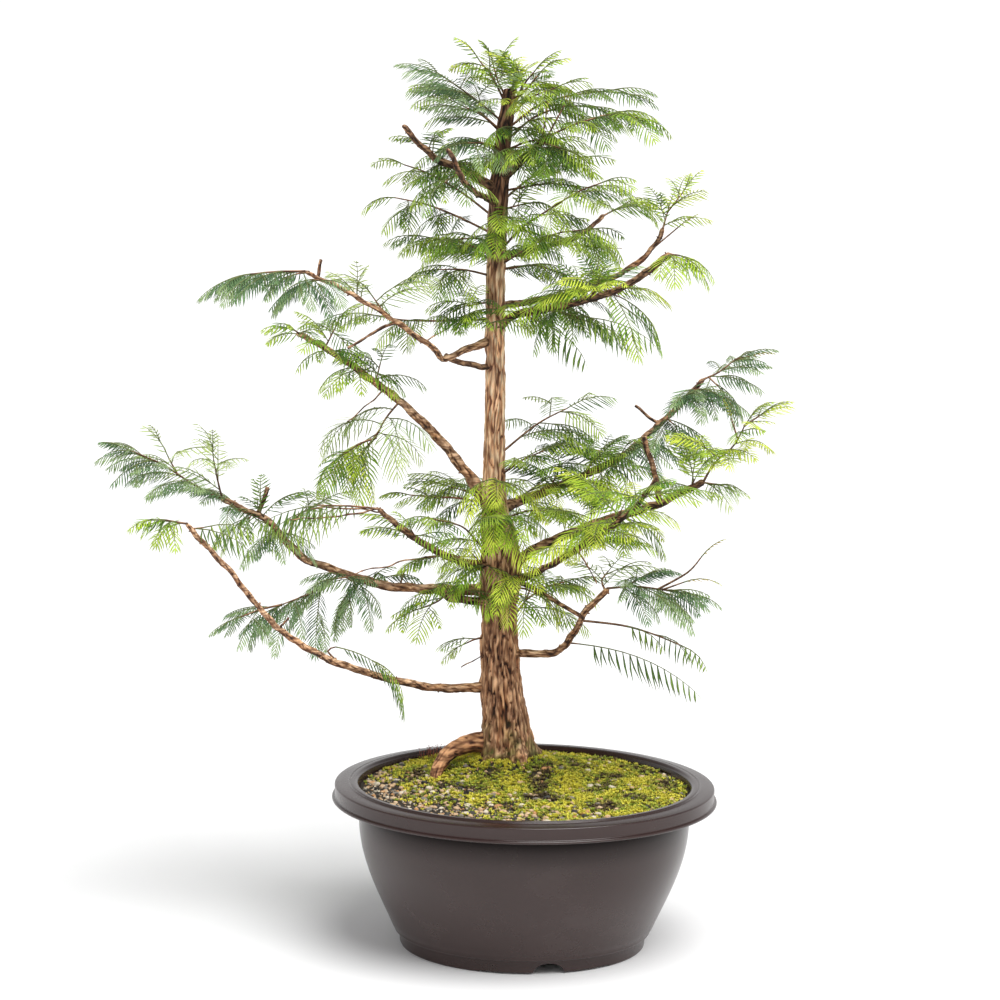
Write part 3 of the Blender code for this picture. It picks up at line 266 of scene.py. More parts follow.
# Smaller sprigs that the solids leave out, by host: a bough, the trunk or the stem of a mass. Each holds its place
# on the host, then what a mass holds from its stem on.
SPRIGS = {
    "trunk": (
        (438, ((16, 186, 62), (12, 180, 50)), 5, 28, "lime", 55, 10, 40, 80),
        (434, ((12, 280, 48),), 4, 28, "lime", 60, 5, 50, 60),
        (437, ((12, 350, 60), (10, 340, 50)), 4, 28, "fresh", 60, 5, 40, 90),
        (428, ((16, 60, 45), (14, 50, 30)), 5, 32, "green", 60, 5, 40, 60),
        (417, ((16, 215, 36), (14, 205, 24)), 5, 36, "blue", 50, 4, 30),
        (418, ((22, 150, 34), (20, 160, 24)), 5, 36, "green", 58, 5, 50),
        (427, ((18, 320, 38), (22, 325, 20)), 6, 36, "green", 60, 5, 50),
        (412, ((24, 40, 32), (24, 30, 18), (18, 20, 0)), 6, 36, "green", 55, 5, 50),
        (405, ((16, 330, 20), (14, 340, 5)), 5, 36),
        (398, ((14, 290, 30), (12, 300, 10)), 4, 34, "green", 65, 5, 60),
        (385, ((24, 95, 30), (22, 100, 20)), 5, 40, "green", 55, 5, 55),
        (378, ((26, 0, 10), (20, 5, -5)), 4, 34, "green", 55, 5, 50),
        (372, ((22, 45, 30), (24, 40, 25), (20, 35, 10)), 5, 38, "fresh"),
        (362, ((24, 160, 34), (26, 158, 26), (20, 150, 15)), 6, 32, "green", 55, 5, 60),
        (350, ((12, 300, 20),), 4, 38, "fresh", 55, -10, 65),
        (366, ((14, 330, 15),), 5, 34, "fresh", 65, -5, 60, 60),
        (304, ((18, 218, -5),), 5, 34, "green", 62, -5, 60, 50),
        (204, ((30, 28, 34), (24, 25, 24)), 6, 42, "green", 58, 5, 50),
        (344, ((16, 230, 10), (14, 215, 0)), 4, 38, "green", 60, 5, 60),
        (335, ((24, 140, 15), (24, 150, 5)), 5, 40, "green", 60, 5, 50),
        (330, ((20, 325, 30), (26, 320, 25), (22, 322, 10)), 6, 38, "green", 55, 5, 60),
        (326, ((20, 350, 8), (16, 355, -15)), 4, 36, "green", 55, 5, 55),
        (288, ((12, 255, 20),), 3, 34, "green", 60, 5, 60),
        (190, ((16, 330, 35), (18, 335, 25)), 5, 40, "green", 55, 5, 50),
        (178, ((10, 268, 5),), 4, 50, "lime", 30, -42, 30),
        (160, ((18, 320, 20), (16, 330, 5)), 5, 38, "lime", 60, 0, 50),
        (158, ((26, 62, 24), (26, 56, 16)), 5, 42, "fresh", 55, 5, 55),
        (128, ((10, 240, 10),), 4, 34, "fresh", 60, -10, 60),
        (112, ((12, 310, 10), (12, 320, -10)), 5, 34, "lime", 55, -14, 60),
        (110, ((28, 106, 18), (26, 110, 12)), 5, 36, "green", 55, 5, 55),
        (78, ((6, 200, -10), (6, 190, -25)), 2, 24, "pale", 45),
        (416, ((12, 312, 20),), 5, 32, "green", 65, 5, 60),
        (402, ((14, 335, 15), (12, 330, 5)), 5, 34, "deep", 62, 0, 60),
        (406, ((14, 228, 12), (12, 215, 0)), 5, 34, "blue", 60, 0, 50),
        (392, ((16, 206, 10), (12, 200, 0)), 5, 32, "deep", 60, 5, 60),
    ),
    "bough_crown_right": (
        (0.6, ((14, 300, 20), (14, 320, -10)), 4, 38, "green", 55, 5, 55),
        (0.94, ((22, 180, 44),), 1, 16, "young", 0, 10, 20),
        (0.97, ((24, 0, 62),), 1, 18, "young", 0, 10, 20),
        (0.8, ((16, 20, 80),), 1, 14, "young", 0, 10, 20),
    ),
    "bough_crown_left": (
        (0.3, ((12, 250, -10), (14, 235, -20)), 4, 36, "green", 55, 5, 55),
    ),
    "bough_right_high": (
        (0.45, ((12, 300, 40),), 4, 38, "green", 70, 5, 60),
        (0.7, ((10, 340, -20),), 4, 38, "green", 50, 5, 60),
    ),
    "bough_right_upper": (
        (0.25, ((12, 340, -12), (14, 335, -15)), 3, 50, "comb", 30, 5, 35),
        (0.5, ((9, 290, 45),), 4, 40, "fresh", 75, 5, 40, 50),
        (0.58, ((9, 270, 25),), 4, 38, "lime", 70, 5, 60),
        (0.60, ((8, 330, -15),), 2, 50, "fresh", 30, -8, 40),
        (0.32, ((8, 290, -15),), 4, 34, "deep", 65, -5, 60),
    ),
    "bough_right_upper_back": (
        (0.5, ((10, 300, 10),), 4, 40, "green", 65, 5, 55),
        (0.3, ((8, 300, -5),), 5, 34, "green", 65, -5, 60),
        (0.42, ((8, 290, -15),), 4, 36, "deep", 65, -5, 60),
        (0.87, ((26, 15, 39),), 1, 22, "young", 0, 0, 20),
    ),
    "bough_left_upper": (
        (0.9, ((9, 230, 5),), 5, 38, "blue", 65, -8, 50),
        (0.98, ((8, 215, -5),), 4, 36, "blue", 60, -8, 45),
        (0.72, ((8, 150, 40),), 3, 26, "pale", 60, 5, 40, 60),
    ),
    "bough_left_rising": (
        (0.97, ((7, 230, 30),), 4, 24, "fresh", 70, 5, 60),
        (0.84, ((8, 290, 5),), 3, 30, "green", 65, 0, 60),
        (0.62, ((14, 70, 55),), 4, 32, "deep", 70, 0, 60, 60),
        (0.72, ((8, 280, -10),), 4, 30, "fresh", 65, 0, 60),
    ),
    "bough_left_long": (
        (0.93, ((10, 200, 30),), 4, 38, "blue", 70, 5, 50),
        (0.83, ((9, 240, 40),), 4, 32, "deep", 70, 5, 40, 40),
        (0.72, ((18, 60, 55), (18, 20, 30)), 3, 34, "pale", 45),
        (0.45, ((8, 250, 10), (10, 225, 0)), 4, 36, "blue", 55, 5, 50),
        (0.38, ((8, 280, 30),), 3, 34, "deep", 70, 5, 50),
        (0.11, ((12, 215, -35), (12, 200, -20)), 3, 34, "fresh", 40),
        (0.42, ((10, 240, -30),), 4, 36, "blue", 50, -10, 55),
        (0.78, ((8, 280, -10),), 4, 34, "blue", 60, -10, 50),
        (0.88, ((8, 260, -20),), 4, 32, "green", 60, -8, 55),
        (0.1, ((8, 260, 25),), 3, 36, "fresh", 70, 5, 60),
    ),
    "bough_left_low": (
        (0.97, ((8, 20, 5),), 2, 40, "comb", 40, 5, 45),
        (1.0, ((6, 192, 6),), 1, 30, "comb", 0, 6, 30),
    ),
    "bough_left_mid": (
        (0.6, ((10, 240, 45),), 4, 34, "fresh", 70),
        (0.35, ((10, 220, -5),), 3, 34, "green", 60),
    ),
    "bough_right_rising": (
        (0.52, ((8, 290, 35),), 4, 36, "green", 70),
        (0.2, ((10, 60, 45),), 5, 34, "green", 72, -6, 60, 60),
        (0.42, ((10, 40, 60),), 5, 34, "deep", 72, -2, 60, 60),
        (0.26, ((8, 300, 20),), 5, 42, "lime", 60, -5, 55),
        (0.48, ((8, 300, -12),), 4, 38, "lime", 65, -8, 55),
        (0.66, ((8, 290, -20),), 4, 38, "blue", 60, -10, 40),
        (0.78, ((8, 305, -25),), 5, 38, "blue", 60, -12, 40),
        (0.92, ((8, 300, 10),), 4, 38, "blue", 60, -6, 40),
        (0.86, ((8, 320, 30),), 4, 36, "blue", 60, -4, 45),
    ),
    "bough_right_long": (
        (0.4, ((8, 270, 50),), 4, 38, "green", 70),
        (0.55, ((8, 280, -10),), 4, 40, "lime", 65, 0, 60),
        (0.9, ((9, 300, 50),), 4, 38, "fresh", 70, 5, 40, 50),
        (0.98, ((9, 350, -5),), 3, 26, "pale", 40, 5, 45),
    ),
    "bough_right_front": (
        (0.4, ((8, 300, 40),), 5, 42, "lime", 70),
        (0.55, ((10, 310, 30),), 5, 42, "lime", 70, 0, 50),
        (0.85, ((10, 280, 30),), 5, 42, "fresh", 70),
    ),
    "bough_right_low": (
        (0.66, ((28, 0, -6), (21, 6, -16), (20, 4, -22)), 3, 30, "comb", 26, 0, 50),
        (0.95, ((8, 120, 50), (10, 60, 30)), 4, 32, "pale"),
    ),
    "needles_crown_right": (
        (0.9, ((12, 350, 8), (12, 355, -10)), 4, 34, "fresh", 55, 5, 45),
    ),
    "needles_right_upper_back": (
        (1.0, ((16, 20, 50),), 3, 28, "lime", 50, 8, 35),
    ),
    "needles_left_rising_hang": (
        (1.0, ((12, 190, -20), (14, 185, -35)), 4, 40, "fresh", 55, 5, 60),
        (0.8, ((12, 205, -50),), 3, 42, "lime", 35, 5, 50),
    ),
    "needles_left_long_tip": (
        (0.6, ((12, 190, 62),), 3, 36, "pale", 60),
        (1.0, ((10, 186, 24),), 3, 30, "blue", 50, 0, 30),
    ),
    "needles_left_long_hang": (
        (1.0, ((14, 192, -12), (14, 190, -20)), 4, 34, "blue", 50, 5, 35),
    ),
    "needles_right_rising_tip": (
        (0.3, ((10, 320, -35),), 3, 36, "blue", 60, -8, 40),
        (1.0, ((10, 0, 15),), 1, 22, "young", 0, 5, 30),
    ),
    "needles_right_long_tip": (
        (0.5, ((9, 190, 30),), 4, 34, "lime", 60),
        (1.0, ((12, 335, 35),), 3, 28, "lime", 50, 5, 30),
        (0.8, ((14, 200, 70),), 1, 16, "young", 0, 5, 20),
    ),
    "needles_right_low_tip": (
        (0.4, ((8, 330, 30),), 4, 38, "blue", 60),
        (1.0, ((14, 355, -8),), 3, 34, "blue", 55),
        (0.9, ((22, 350, 32), (14, 340, 50)), 1, 26, "young", 0, 0, 30),
        (1.0, ((14, 350, 22),), 1, 30, "young", 0, 0, 60),
    ),
    "needles_back_low": (
        (0.5, ((16, 20, 30), (14, 10, 15)), 5, 40),
    ),
    "needles_back_mid": (
        (0.45, ((16, 160, 30), (14, 170, 15)), 5, 40),
    ),
    "needles_back_high": (
        (0.5, ((14, 140, 30), (12, 150, 15)), 5, 38, "fresh"),
    ),
}

# Bare limbs that only this script has, by host: place on it, run, and thickness at foot and tip. They are props
# between limbs, thin twigs, and the cut stubs of lost ones.
BARE = {
    "bough_right_long": (
        (0.755, ((21, 195, 80), (25, 178, 72)), (4.6, 3.4)),
    ),
    "bough_right_front": (
        (1.0, ((14, 300, 70), (16, 200, 78)), (2.6, 2.0)),
    ),
    "trunk": (
        (102, ((21, 203, 10), (19, 123, 6)), (5.8, 5)),
        (261, ((15, 209, 8), (18, 210, 20)), (4.4, 3.6)),
        (117, ((12, 334, -18), (27, 310, -13), (27, 308, -13)), (3.8, 2.6)),
        (66, ((9, 195, -30), (8, 205, -25)), (1.2, 0.7)),
    ),
    "bough_left_mid": (
        (0.37, ((32, 195, -10), (34, 190, -14)), (1.6, 0.7)),
        (0.95, ((24, 188, 6), (22, 186, 0)), (1.6, 0.7)),
        (1.0, ((30, 186, -10), (28, 184, -4)), (1.8, 0.7)),
    ),
    "bough_left_rising": (
        (0.58, ((17, 199, -41), (16, 199, -40)), (1.5, 0.8)),
    ),
    "bough_left_upper": (
        (0.92, ((12, 60, 72),), (3, 2)),
        (0.36, ((9, 45, 30), (11, 30, 20)), (1.2, 0.6)),
        (0.52, ((18, 205, -22), (20, 215, -26)), (2.6, 1.6)),
    ),
    "bough_left_long": (
        (0.86, ((20, 0, 71),), (3.6, 3)),
        (0.28, ((14, 60, 62),), (2.2, 1.2)),
    ),
    "bough_left_low": (
        (0.62, ((12, 320, 50),), (2.0, 1.4)),
    ),
    "bough_right_high": (
        (0.52, ((22, 16, -7), (22, 12, -3)), (1.5, 0.6)),
    ),
    "bough_right_upper": (
        (0.5, ((12, 330, 65),), (3, 2.4)),
    ),
    "bough_right_rising": (
        (0.74, ((20, 180, 37),), (2.6, 2)),
        (0.36, ((20, 0, 60),), (2.4, 1.2)),
    ),
    "bough_right_front": (
        (0.41, ((12, 330, -50), (13, 0, -62)), (1.5, 0.7)),
    ),
}

# Foliage: the record's slot, three shades dealt out by spray, millimetres between pairs of needles, a needle's
# length as a share of its spray's and at most, its angle to the spray, how far it hangs below the spray, its width,
# and how many side sprays stand on a spray
Foliage = namedtuple("Foliage", "slot shades pitch reach longest angle hang width sides")
FOLIAGE = {
    "blue": Foliage("needles_blue_green", ((0.07, 0.15, 0.06), (0.175, 0.31, 0.125), (0.36, 0.50, 0.22)),
                    2.3, 0.30, 11.5, 62, 30, 1.0, 1),
    "green": Foliage("needles_green", ((0.06, 0.15, 0.014), (0.20, 0.355, 0.03), (0.42, 0.58, 0.06)),
                     2.9, 0.37, 15, 62, 22, 1.05, 1),
    "deep": Foliage("needles_green", ((0.035, 0.10, 0.012), (0.11, 0.23, 0.025), (0.22, 0.37, 0.045)),
                    2.8, 0.35, 14, 62, 24, 1.05, 1),
    "pale": Foliage("needles_pale", ((0.22, 0.36, 0.08), (0.40, 0.56, 0.15), (0.58, 0.71, 0.24)),
                    4.2, 0.42, 19, 54, 18, 0.95, 1),
    "fresh": Foliage("needles_fresh", ((0.09, 0.23, 0.015), (0.26, 0.46, 0.03), (0.49, 0.67, 0.055)),
                     3.0, 0.37, 15, 62, 16, 1.1, 1),
    "lime": Foliage("needles_lime", ((0.20, 0.36, 0.02), (0.48, 0.68, 0.045), (0.74, 0.86, 0.09)),
                    2.9, 0.36, 15, 60, 14, 1.1, 1),
    "comb": Foliage("needles_green", ((0.12, 0.22, 0.04), (0.22, 0.35, 0.06), (0.34, 0.48, 0.09)),
                    5.0, 0.40, 18, 70, 62, 1.2, 0),
    "young": Foliage("needles_lime", ((0.52, 0.24, 0.05), (0.60, 0.42, 0.06), (0.62, 0.62, 0.10)),
                     2.8, 0.24, 5, 50, 10, 1.1, 0),
}
SPRAY_ROLL = 34
SPRAY_STALK = 0.08
YOUNG_FROM = 0.72
NEEDLE_THICKNESS = 0.22
NEEDLE_STATIONS = ((0.0, 0.5), (0.55, 1.0))
TRIES = ((0, 0), (14, 6), (-14, 6), (26, -8), (-26, -8), (8, 22), (-8, -22))


class Pile:
    """Shapes gathered into one mesh: arrays of points, and arrays of three or four corners for the faces."""

    def __init__(self):
        self.points = []
        self.faces = []
        self.places = []
        self.levels = []
        self.size = 0

    def add(self, points, *faces, place=0, levels=None):
        """Adds one shape. Place is its material's place, and levels holds how far each point stands out."""
        for corners in faces:
            self.faces.append(np.asarray(corners) + self.size)
            self.places.append(np.full(len(corners), place))
        self.points.append(np.asarray(points, float))
        self.levels.append(np.zeros(len(points)) if levels is None else levels)
        self.size += len(points)

    def mesh(self, name):
        corners = np.concatenate([array.ravel() for array in self.faces])
        sizes = np.concatenate([np.full(len(array), array.shape[1]) for array in self.faces])
        mesh = bpy.data.meshes.new(name)
        mesh.vertices.add(self.size)
        mesh.vertices.foreach_set("co", np.concatenate(self.points).astype(np.float32).ravel())
        mesh.loops.add(len(corners))
        mesh.polygons.add(len(sizes))
        mesh.polygons.foreach_set("loop_start", np.concatenate(([0], np.cumsum(sizes)[:-1])))
        mesh.polygons.foreach_set("vertices", corners)
        mesh.polygons.foreach_set("material_index", np.concatenate(self.places))
        mesh.update(calc_edges=True)
        level = mesh.attributes.new("level", "FLOAT", "POINT")
        level.data.foreach_set("value", np.concatenate(self.levels).astype(np.float32))
        return mesh


def add_piece(name, mesh, materials, replaced=(), smooth=False):
    """A piece of the plant that rides on the frame's body, and the nodes that it stands for."""
    for material in materials:
        mesh.materials.append(material)
    if smooth:
        mesh.shade_smooth()
    piece = bpy.data.objects.new(name, mesh)
    bpy.context.scene.collection.objects.link(piece)
    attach(piece, BODY)
    if replaced:
        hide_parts(*replaced)
    return piece


# Shapes of limbs


def heading(bearing, climb):
    """The unit vector of a bearing and a climb in degrees."""
    turn, rise = math.radians(bearing), math.radians(climb)
    return Vector((math.cos(turn) * math.cos(rise), math.sin(turn) * math.cos(rise), math.sin(rise)))


def run_knots(start, run):
    """The ends of the stretches of a run, each a length in millimetres, a bearing and a climb."""
    knots = [Vector(start)]
    for length, bearing, climb in run:
        knots.append(knots[-1] + heading(bearing, climb) * length * MM)
    return knots


def across(direction):
    """Two unit vectors square to a direction, the first of them level."""
    side = direction.cross(UP)
    side = side.normalized() if side.length > 0.05 else Vector((0.0, 1.0, 0.0)).cross(direction).normalized()
    return side, side.cross(direction).normalized()


def point_along(line, share):
    """The point and the direction at a share of a line's points."""
    place = min(max(share, 0.0), 1.0) * (len(line) - 1)
    i = min(int(place), len(line) - 2)
    return line[i].lerp(line[i + 1], place - i), (line[i + 1] - line[i]).normalized()


def between(a, b, c, d, share):
    """A value on the smooth curve from b to c, which passes a before and d after."""
    return (b * 2 + (c - a) * share + (a * 2 - b * 5 + c * 4 - d) * share ** 2
            + (b * 3 - a - c * 3 + d) * share ** 3) * 0.5


def rounded(knots, widths, step):
    """A smooth line through the knots, with a point about every step of this many millimetres, and its radii."""
    line, radii = [], []
    last = len(knots) - 1
    for i in range(last):
        picked = [max(i - 1, 0), i, i + 1, min(i + 2, last)]
        pieces = max(2, round((knots[i + 1] - knots[i]).length / MM / step))
        for k in range(pieces):
            share = k / pieces
            line.append(between(*[knots[p] for p in picked], share))
            radii.append(between(*[widths[p] for p in picked], share) * MM / 2)
    line.append(knots[-1])
    radii.append(widths[-1] * MM / 2)
    return line, radii


def tapered(thickness, count):
    """The width at each of this many points, in millimetres."""
    foot, tip = thickness
    return [foot + (tip - foot) * i / (count - 1) for i in range(count)]


def ring_ways(line):
    """Two vectors square to the line at each of its points, carried along it without a twist."""
    last = len(line) - 1
    ways = [(line[min(i + 1, last)] - line[max(i - 1, 0)]).normalized() for i in range(last + 1)]
    side = across(ways[0])[0]
    sides, tops = [], []
    for way in ways:
        side = (side - way * side.dot(way)).normalized()
        sides.append(side)
        tops.append(way.cross(side))
    return np.array(sides), np.array(tops)


def ring_faces(rings, sides):
    """The faces of a tube of rings, whose two middle points come last: quads, then triangles."""
    k = np.arange(sides)
    after = (k + 1) % sides
    rows = np.arange(rings - 1)[:, None] * sides
    quads = np.stack([rows + k, rows + after, rows + after + sides, rows + k + sides], axis=2).reshape(-1, 4)
    foot, tip = rings * sides, rings * sides + 1
    top = (rings - 1) * sides
    caps = [np.stack([np.full(sides, foot), after, k], axis=1)]
    caps.append(np.stack([np.full(sides, tip), top + k, top + after], axis=1))
    return quads, np.concatenate(caps)


def tube(line, radii, sides, bark=None, depth=0.0):
    """Points, quads, triangles and levels of a tube. Bark gives the level at a turn, a length and a radius."""
    centres = np.array(line)
    side_ways, top_ways = ring_ways(line)
    turns = 2 * math.pi * np.arange(sides) / sides
    levels = np.zeros((len(line), sides))
    if bark:
        lengths = np.concatenate(([0], np.cumsum(np.linalg.norm(np.diff(centres, axis=0), axis=1)))) / MM
        for i, (length, radius) in enumerate(zip(lengths, radii)):
            levels[i] = [bark(turn, length, radius / MM) for turn in turns]
    reach = np.array(radii)[:, None] + levels * depth * MM
    outward = (side_ways[:, None, :] * np.cos(turns)[None, :, None]
               + top_ways[:, None, :] * np.sin(turns)[None, :, None])
    points = centres[:, None, :] + outward * reach[:, :, None]
    points = np.concatenate([points.reshape(-1, 3), centres[:1], centres[-1:]])
    return points, *ring_faces(len(line), sides), np.append(levels.ravel(), [0.0, -0.6])


def bark_level(turn, length, girth, seed, strips=0.42, stretch=0.05):
    """How far bark stands out, from about -1 in a furrow to 1 on a strip, at a turn and a length in mm."""
    x, y = math.cos(turn) * girth, math.sin(turn) * girth
    drift = noise.noise(Vector((x * 0.09, y * 0.09, length * 0.03 + seed))) * 1.1
    furrow = noise.noise(Vector((x * strips + drift, y * strips - drift, length * stretch + seed)))
    plate = noise.noise(Vector((x * strips * 1.9 + 7, y * strips * 1.9, length * stretch * 2.4 - seed)))
    fibre = noise.noise(Vector((x * strips * 3.6, y * strips * 3.6, length * stretch * 5 + seed)))
    return min(abs(furrow) * 7, 1.0) * 1.5 - 1.25 + plate * 1.0 + fibre * 0.5


# The trunk, the root and the boughs


def trunk_radius(height):
    """The trunk's radius in metres at a height above the ground in millimetres."""
    for (low, _, wide), (high, _, slim) in zip(TRUNK_KNOTS, TRUNK_KNOTS[1:]):
        if height <= high:
            return (wide + (slim - wide) * max(height - low, 0) / (high - low)) * MM / 2
    return TRUNK_KNOTS[-1][2] * MM / 2


def trunk_middle(height):
    """The middle of the trunk at a height above the ground in millimetres."""
    heights = [knot[0] for knot in TRUNK_KNOTS]
    sideways = float(np.interp(height, heights, [knot[1] for knot in TRUNK_KNOTS]))
    back = TRUNK_DEPTH + TRUNK_SWAY * math.sin(height / TRUNK_SWAY_HEIGHT)
    return Vector((sideways * MM, back * MM, GROUND + height * MM))


trunk_node = frame["nodes"]["trunk"].data
trunk_tree = BVHTree.FromPolygons([vertex.co.copy() for vertex in trunk_node.vertices],
                                  [tuple(face.vertices) for face in trunk_node.polygons])


def foot_on_trunk(height, bearing):
    """The point on the bark at a height above the ground, on the side of this bearing."""
    way = heading(bearing, 0)
    centre = trunk_middle(height)
    return trunk_tree.ray_cast(centre + way * 0.05, -way)[0] or centre


def grow_trunk(feet):
    """The trunk with furrowed bark, lobes over its roots, and a collar under each limb that it bears."""
    knots = [trunk_middle(height) for height, _, _ in TRUNK_KNOTS]
    line, radii = rounded(knots, [width for _, _, width in TRUNK_KNOTS], TRUNK_STEP)
    down = int(TRUNK_SUNK / TRUNK_STEP)
    line = [line[0] - UP * TRUNK_STEP * MM * k for k in range(down, 0, -1)] + line
    radii = [radii[0]] * down + radii
    turns = 2 * math.pi * np.arange(TRUNK_SIDES) / TRUNK_SIDES
    points, levels = [], []
    for centre, radius in zip(line, radii):
        height = (centre.z - GROUND) / MM
        flare = FLARE_DEPTH * math.exp(-max(height, -5) / FLARE_HEIGHT)
        lobes = 1 + flare * np.sin(FLARE_LOBES * turns + 1.0)
        girth = radius / MM
        level = np.array([bark_level(turn, height, girth, 3.0, 0.34) for turn in turns])
        lumps = [noise.noise(Vector((math.cos(t) * 1.3, math.sin(t) * 1.3, height * 0.035))) for t in turns]
        depth = (0.4 + 0.95 * min(girth / 13, 1.0) ** 2) * MM
        reach = radius * lobes * (1 + 0.07 * np.array(lumps)) + level * depth
        outward = np.stack([np.cos(turns), np.sin(turns), np.zeros(TRUNK_SIDES)], axis=1)
        points.append(np.array(centre) + outward * reach[:, None])
        levels.append(level)
    points = np.array(points)
    outward = points - np.array(line)[:, None, :]
    outward /= np.linalg.norm(outward, axis=2, keepdims=True)
    for foot, radius in feet:
        away = np.linalg.norm(points - np.array(foot), axis=2)
        points += outward * (radius * 0.55 * np.exp(-(away / (radius * 2.1)) ** 2))[:, :, None]
    levels = np.array(levels)
    away = np.linalg.norm(points - np.array(foot_on_trunk(*SCAR_PLACE)), axis=2) / (SCAR_RADIUS * MM)
    hollow = np.exp(-away ** 2)
    points += outward * ((np.exp(-(away - 1.8) ** 2) * 0.5 - hollow * 1.6) * MM)[:, :, None]
    levels = levels * (1 - hollow) - 1.3 * hollow
    pile = Pile()
    ends = [line[0], line[-1] + UP * 0.6 * MM]
    flat = np.concatenate([points.reshape(-1, 3), np.array(ends)])
    quads, caps = ring_faces(len(line), TRUNK_SIDES)
    pile.add(flat, quads, caps, levels=np.append(levels.ravel(), [0, -0.5]))
    return pile


def grow_root():
    """The root that shows, from inside the trunk's flare down into the soil, and a thin one beside it."""
    foot = foot_on_trunk(*ROOT_FOOT)
    way = heading(ROOT_RUN[0][1], 10)
    knots = [foot - way * 9 * MM] + run_knots(foot, ROOT_RUN)
    knots.append(knots[-1] + heading(250, -60) * 9 * MM)
    pile = Pile()
    widths = [ROOT_THICKNESS[0] * 1.15] + tapered(ROOT_THICKNESS, len(knots) - 1)
    line, radii = rounded(knots, widths, LIMB_STEP)
    points, quads, caps, levels = tube(line, radii, 28, lambda t, s, r: bark_level(t, s, r, 11.0, 0.5, 0.06), 0.5)
    pile.add(points, quads, caps, levels=levels)
    knots = [foot + heading(200, -20) * 16 * MM]
    knots += run_knots(knots[0], ((9, 180, -18), (10, 200, -35), (9, 225, -50)))[1:]
    line, radii = rounded(knots, tapered((5, 2.4), len(knots)), LIMB_STEP)
    points, quads, caps, levels = tube(line, radii, 16, lambda t, s, r: bark_level(t, s, r, 17.0, 0.6, 0.08), 0.3)
    pile.add(points, quads, caps, levels=levels)
    return pile


def grow_spurs(pile, line, radii, rng):
    """The short stubs of shed twigs on a limb."""
    count = max(3, len(line) // 9)
    for _ in range(count):
        share = rng.uniform(0.1, 0.98)
        at, way = point_along(line, share)
        radius = radii[int(share * (len(radii) - 1))]
        side, top = across(way)
        turn = rng.uniform(0, 2 * math.pi)
        out = (side * math.cos(turn) + top * math.sin(turn) + way * rng.uniform(0.1, 0.9)).normalized()
        length = radius + rng.uniform(0.5, 1.8) * MM
        spur = [at, at + out * length * 0.6, at + out * length]
        width = rng.uniform(0.45, 0.8) * MM
        points, quads, caps, levels = tube(spur, [width * 1.5, width, width * 0.7], 6)
        pile.add(points, quads, caps, levels=levels - 0.3)


def wander(line, seed):
    """Lets a limb's line stray a little from its smooth curve, more where twigs have been shed."""
    for i in range(1, len(line)):
        way = Vector([noise.noise(Vector((i * WANDER_PITCH, seed, 5.0 * axis))) for axis in range(3)])
        line[i] += way * min(i / 8, 1.0) * WANDER * MM


def grow_bare(host, at, run, thickness, lines, twigs):
    """A limb without needles of its own, from inside its host."""
    knots = limb_knots(host, at, run, lines)
    line, radii = rounded(knots, tapered(thickness, len(knots)), LIMB_STEP)
    seed = at + len(twigs.points)
    wander(line, seed)
    sides = TWIG_SIDES if thickness[0] < 3 else 2 * TWIG_SIDES
    level = lambda t, s, r: bark_level(t, s, r, seed, 0.55, 0.09)
    points, quads, caps, levels = tube(line, radii, sides, level, 0.2)
    twigs.add(points, quads, caps, levels=levels)


def grow_bough(bough):
    """One bough with its bark, from inside the trunk to its tip. Returns its pile, line and radii."""
    foot = foot_on_trunk(*bough.foot)
    knots = run_knots(foot, bough.run)
    widths = tapered(bough.thickness, len(knots))
    line, radii = rounded(knots, widths, LIMB_STEP)
    rng = random.Random(bough.name)
    seed = rng.uniform(0, 40)
    wander(line, seed)
    pile = Pile()
    inner = foot - heading(*bough.run[0][1:]) * bough.thickness[0] * 0.8 * MM
    body, thick = [inner] + line, [radii[0] * 1.1] + radii
    for i in range(len(thick)):
        thick[i] *= 1 + 0.35 * math.exp(-i / 5) + 0.16 * noise.noise(Vector((i * 0.16, seed, 0)))
    for back, share in enumerate(ROUND_TIP, 1):
        thick[-back] *= share
    level = lambda t, s, r: bark_level(t, s, r, seed, 0.55, 0.09)
    points, quads, caps, levels = tube(body, thick, LIMB_SIDES, level, 0.34)
    pile.add(points, quads, caps, levels=levels)
    grow_spurs(pile, line, radii, rng)
    return pile, line, radii


# Sprays of needles

Spray = namedtuple("Spray", "root bearing climb length droop roll")


def shoot_sprays(shoot, plan, rng):
    """The sprays along one shoot: in turn to the left and right, and one that carries on from its tip."""
    sprays = []
    count = plan.sprays
    for i in range(count):
        share = 0.2 + 0.8 * (i + 1) / count if count > 1 else 1.0
        at, way = point_along(shoot, min(share, 1.0))
        side, top = across(way)
        turn = math.radians(plan.twist * i + rng.uniform(-16, 16))
        if i % 2:
            side = -side
        side = side * math.cos(turn) + top * math.sin(turn)
        fan = 0.0 if i == count - 1 else math.radians(plan.fan + rng.uniform(-9, 9))
        out = way * math.cos(fan) + side * math.sin(fan)
        bearing = math.degrees(math.atan2(out.y, out.x)) + rng.uniform(-5, 5)
        climb = math.degrees(math.asin(max(-1.0, min(1.0, out.z)))) + plan.lift
        length = plan.length * (0.78 + 0.3 * math.sin(math.pi * share)) * rng.uniform(0.88, 1.12)
        droop = plan.droop * rng.uniform(0.8, 1.2)
        sprays.append(Spray(at, bearing, climb, length, droop, rng.uniform(-SPRAY_ROLL, SPRAY_ROLL)))
    return sprays


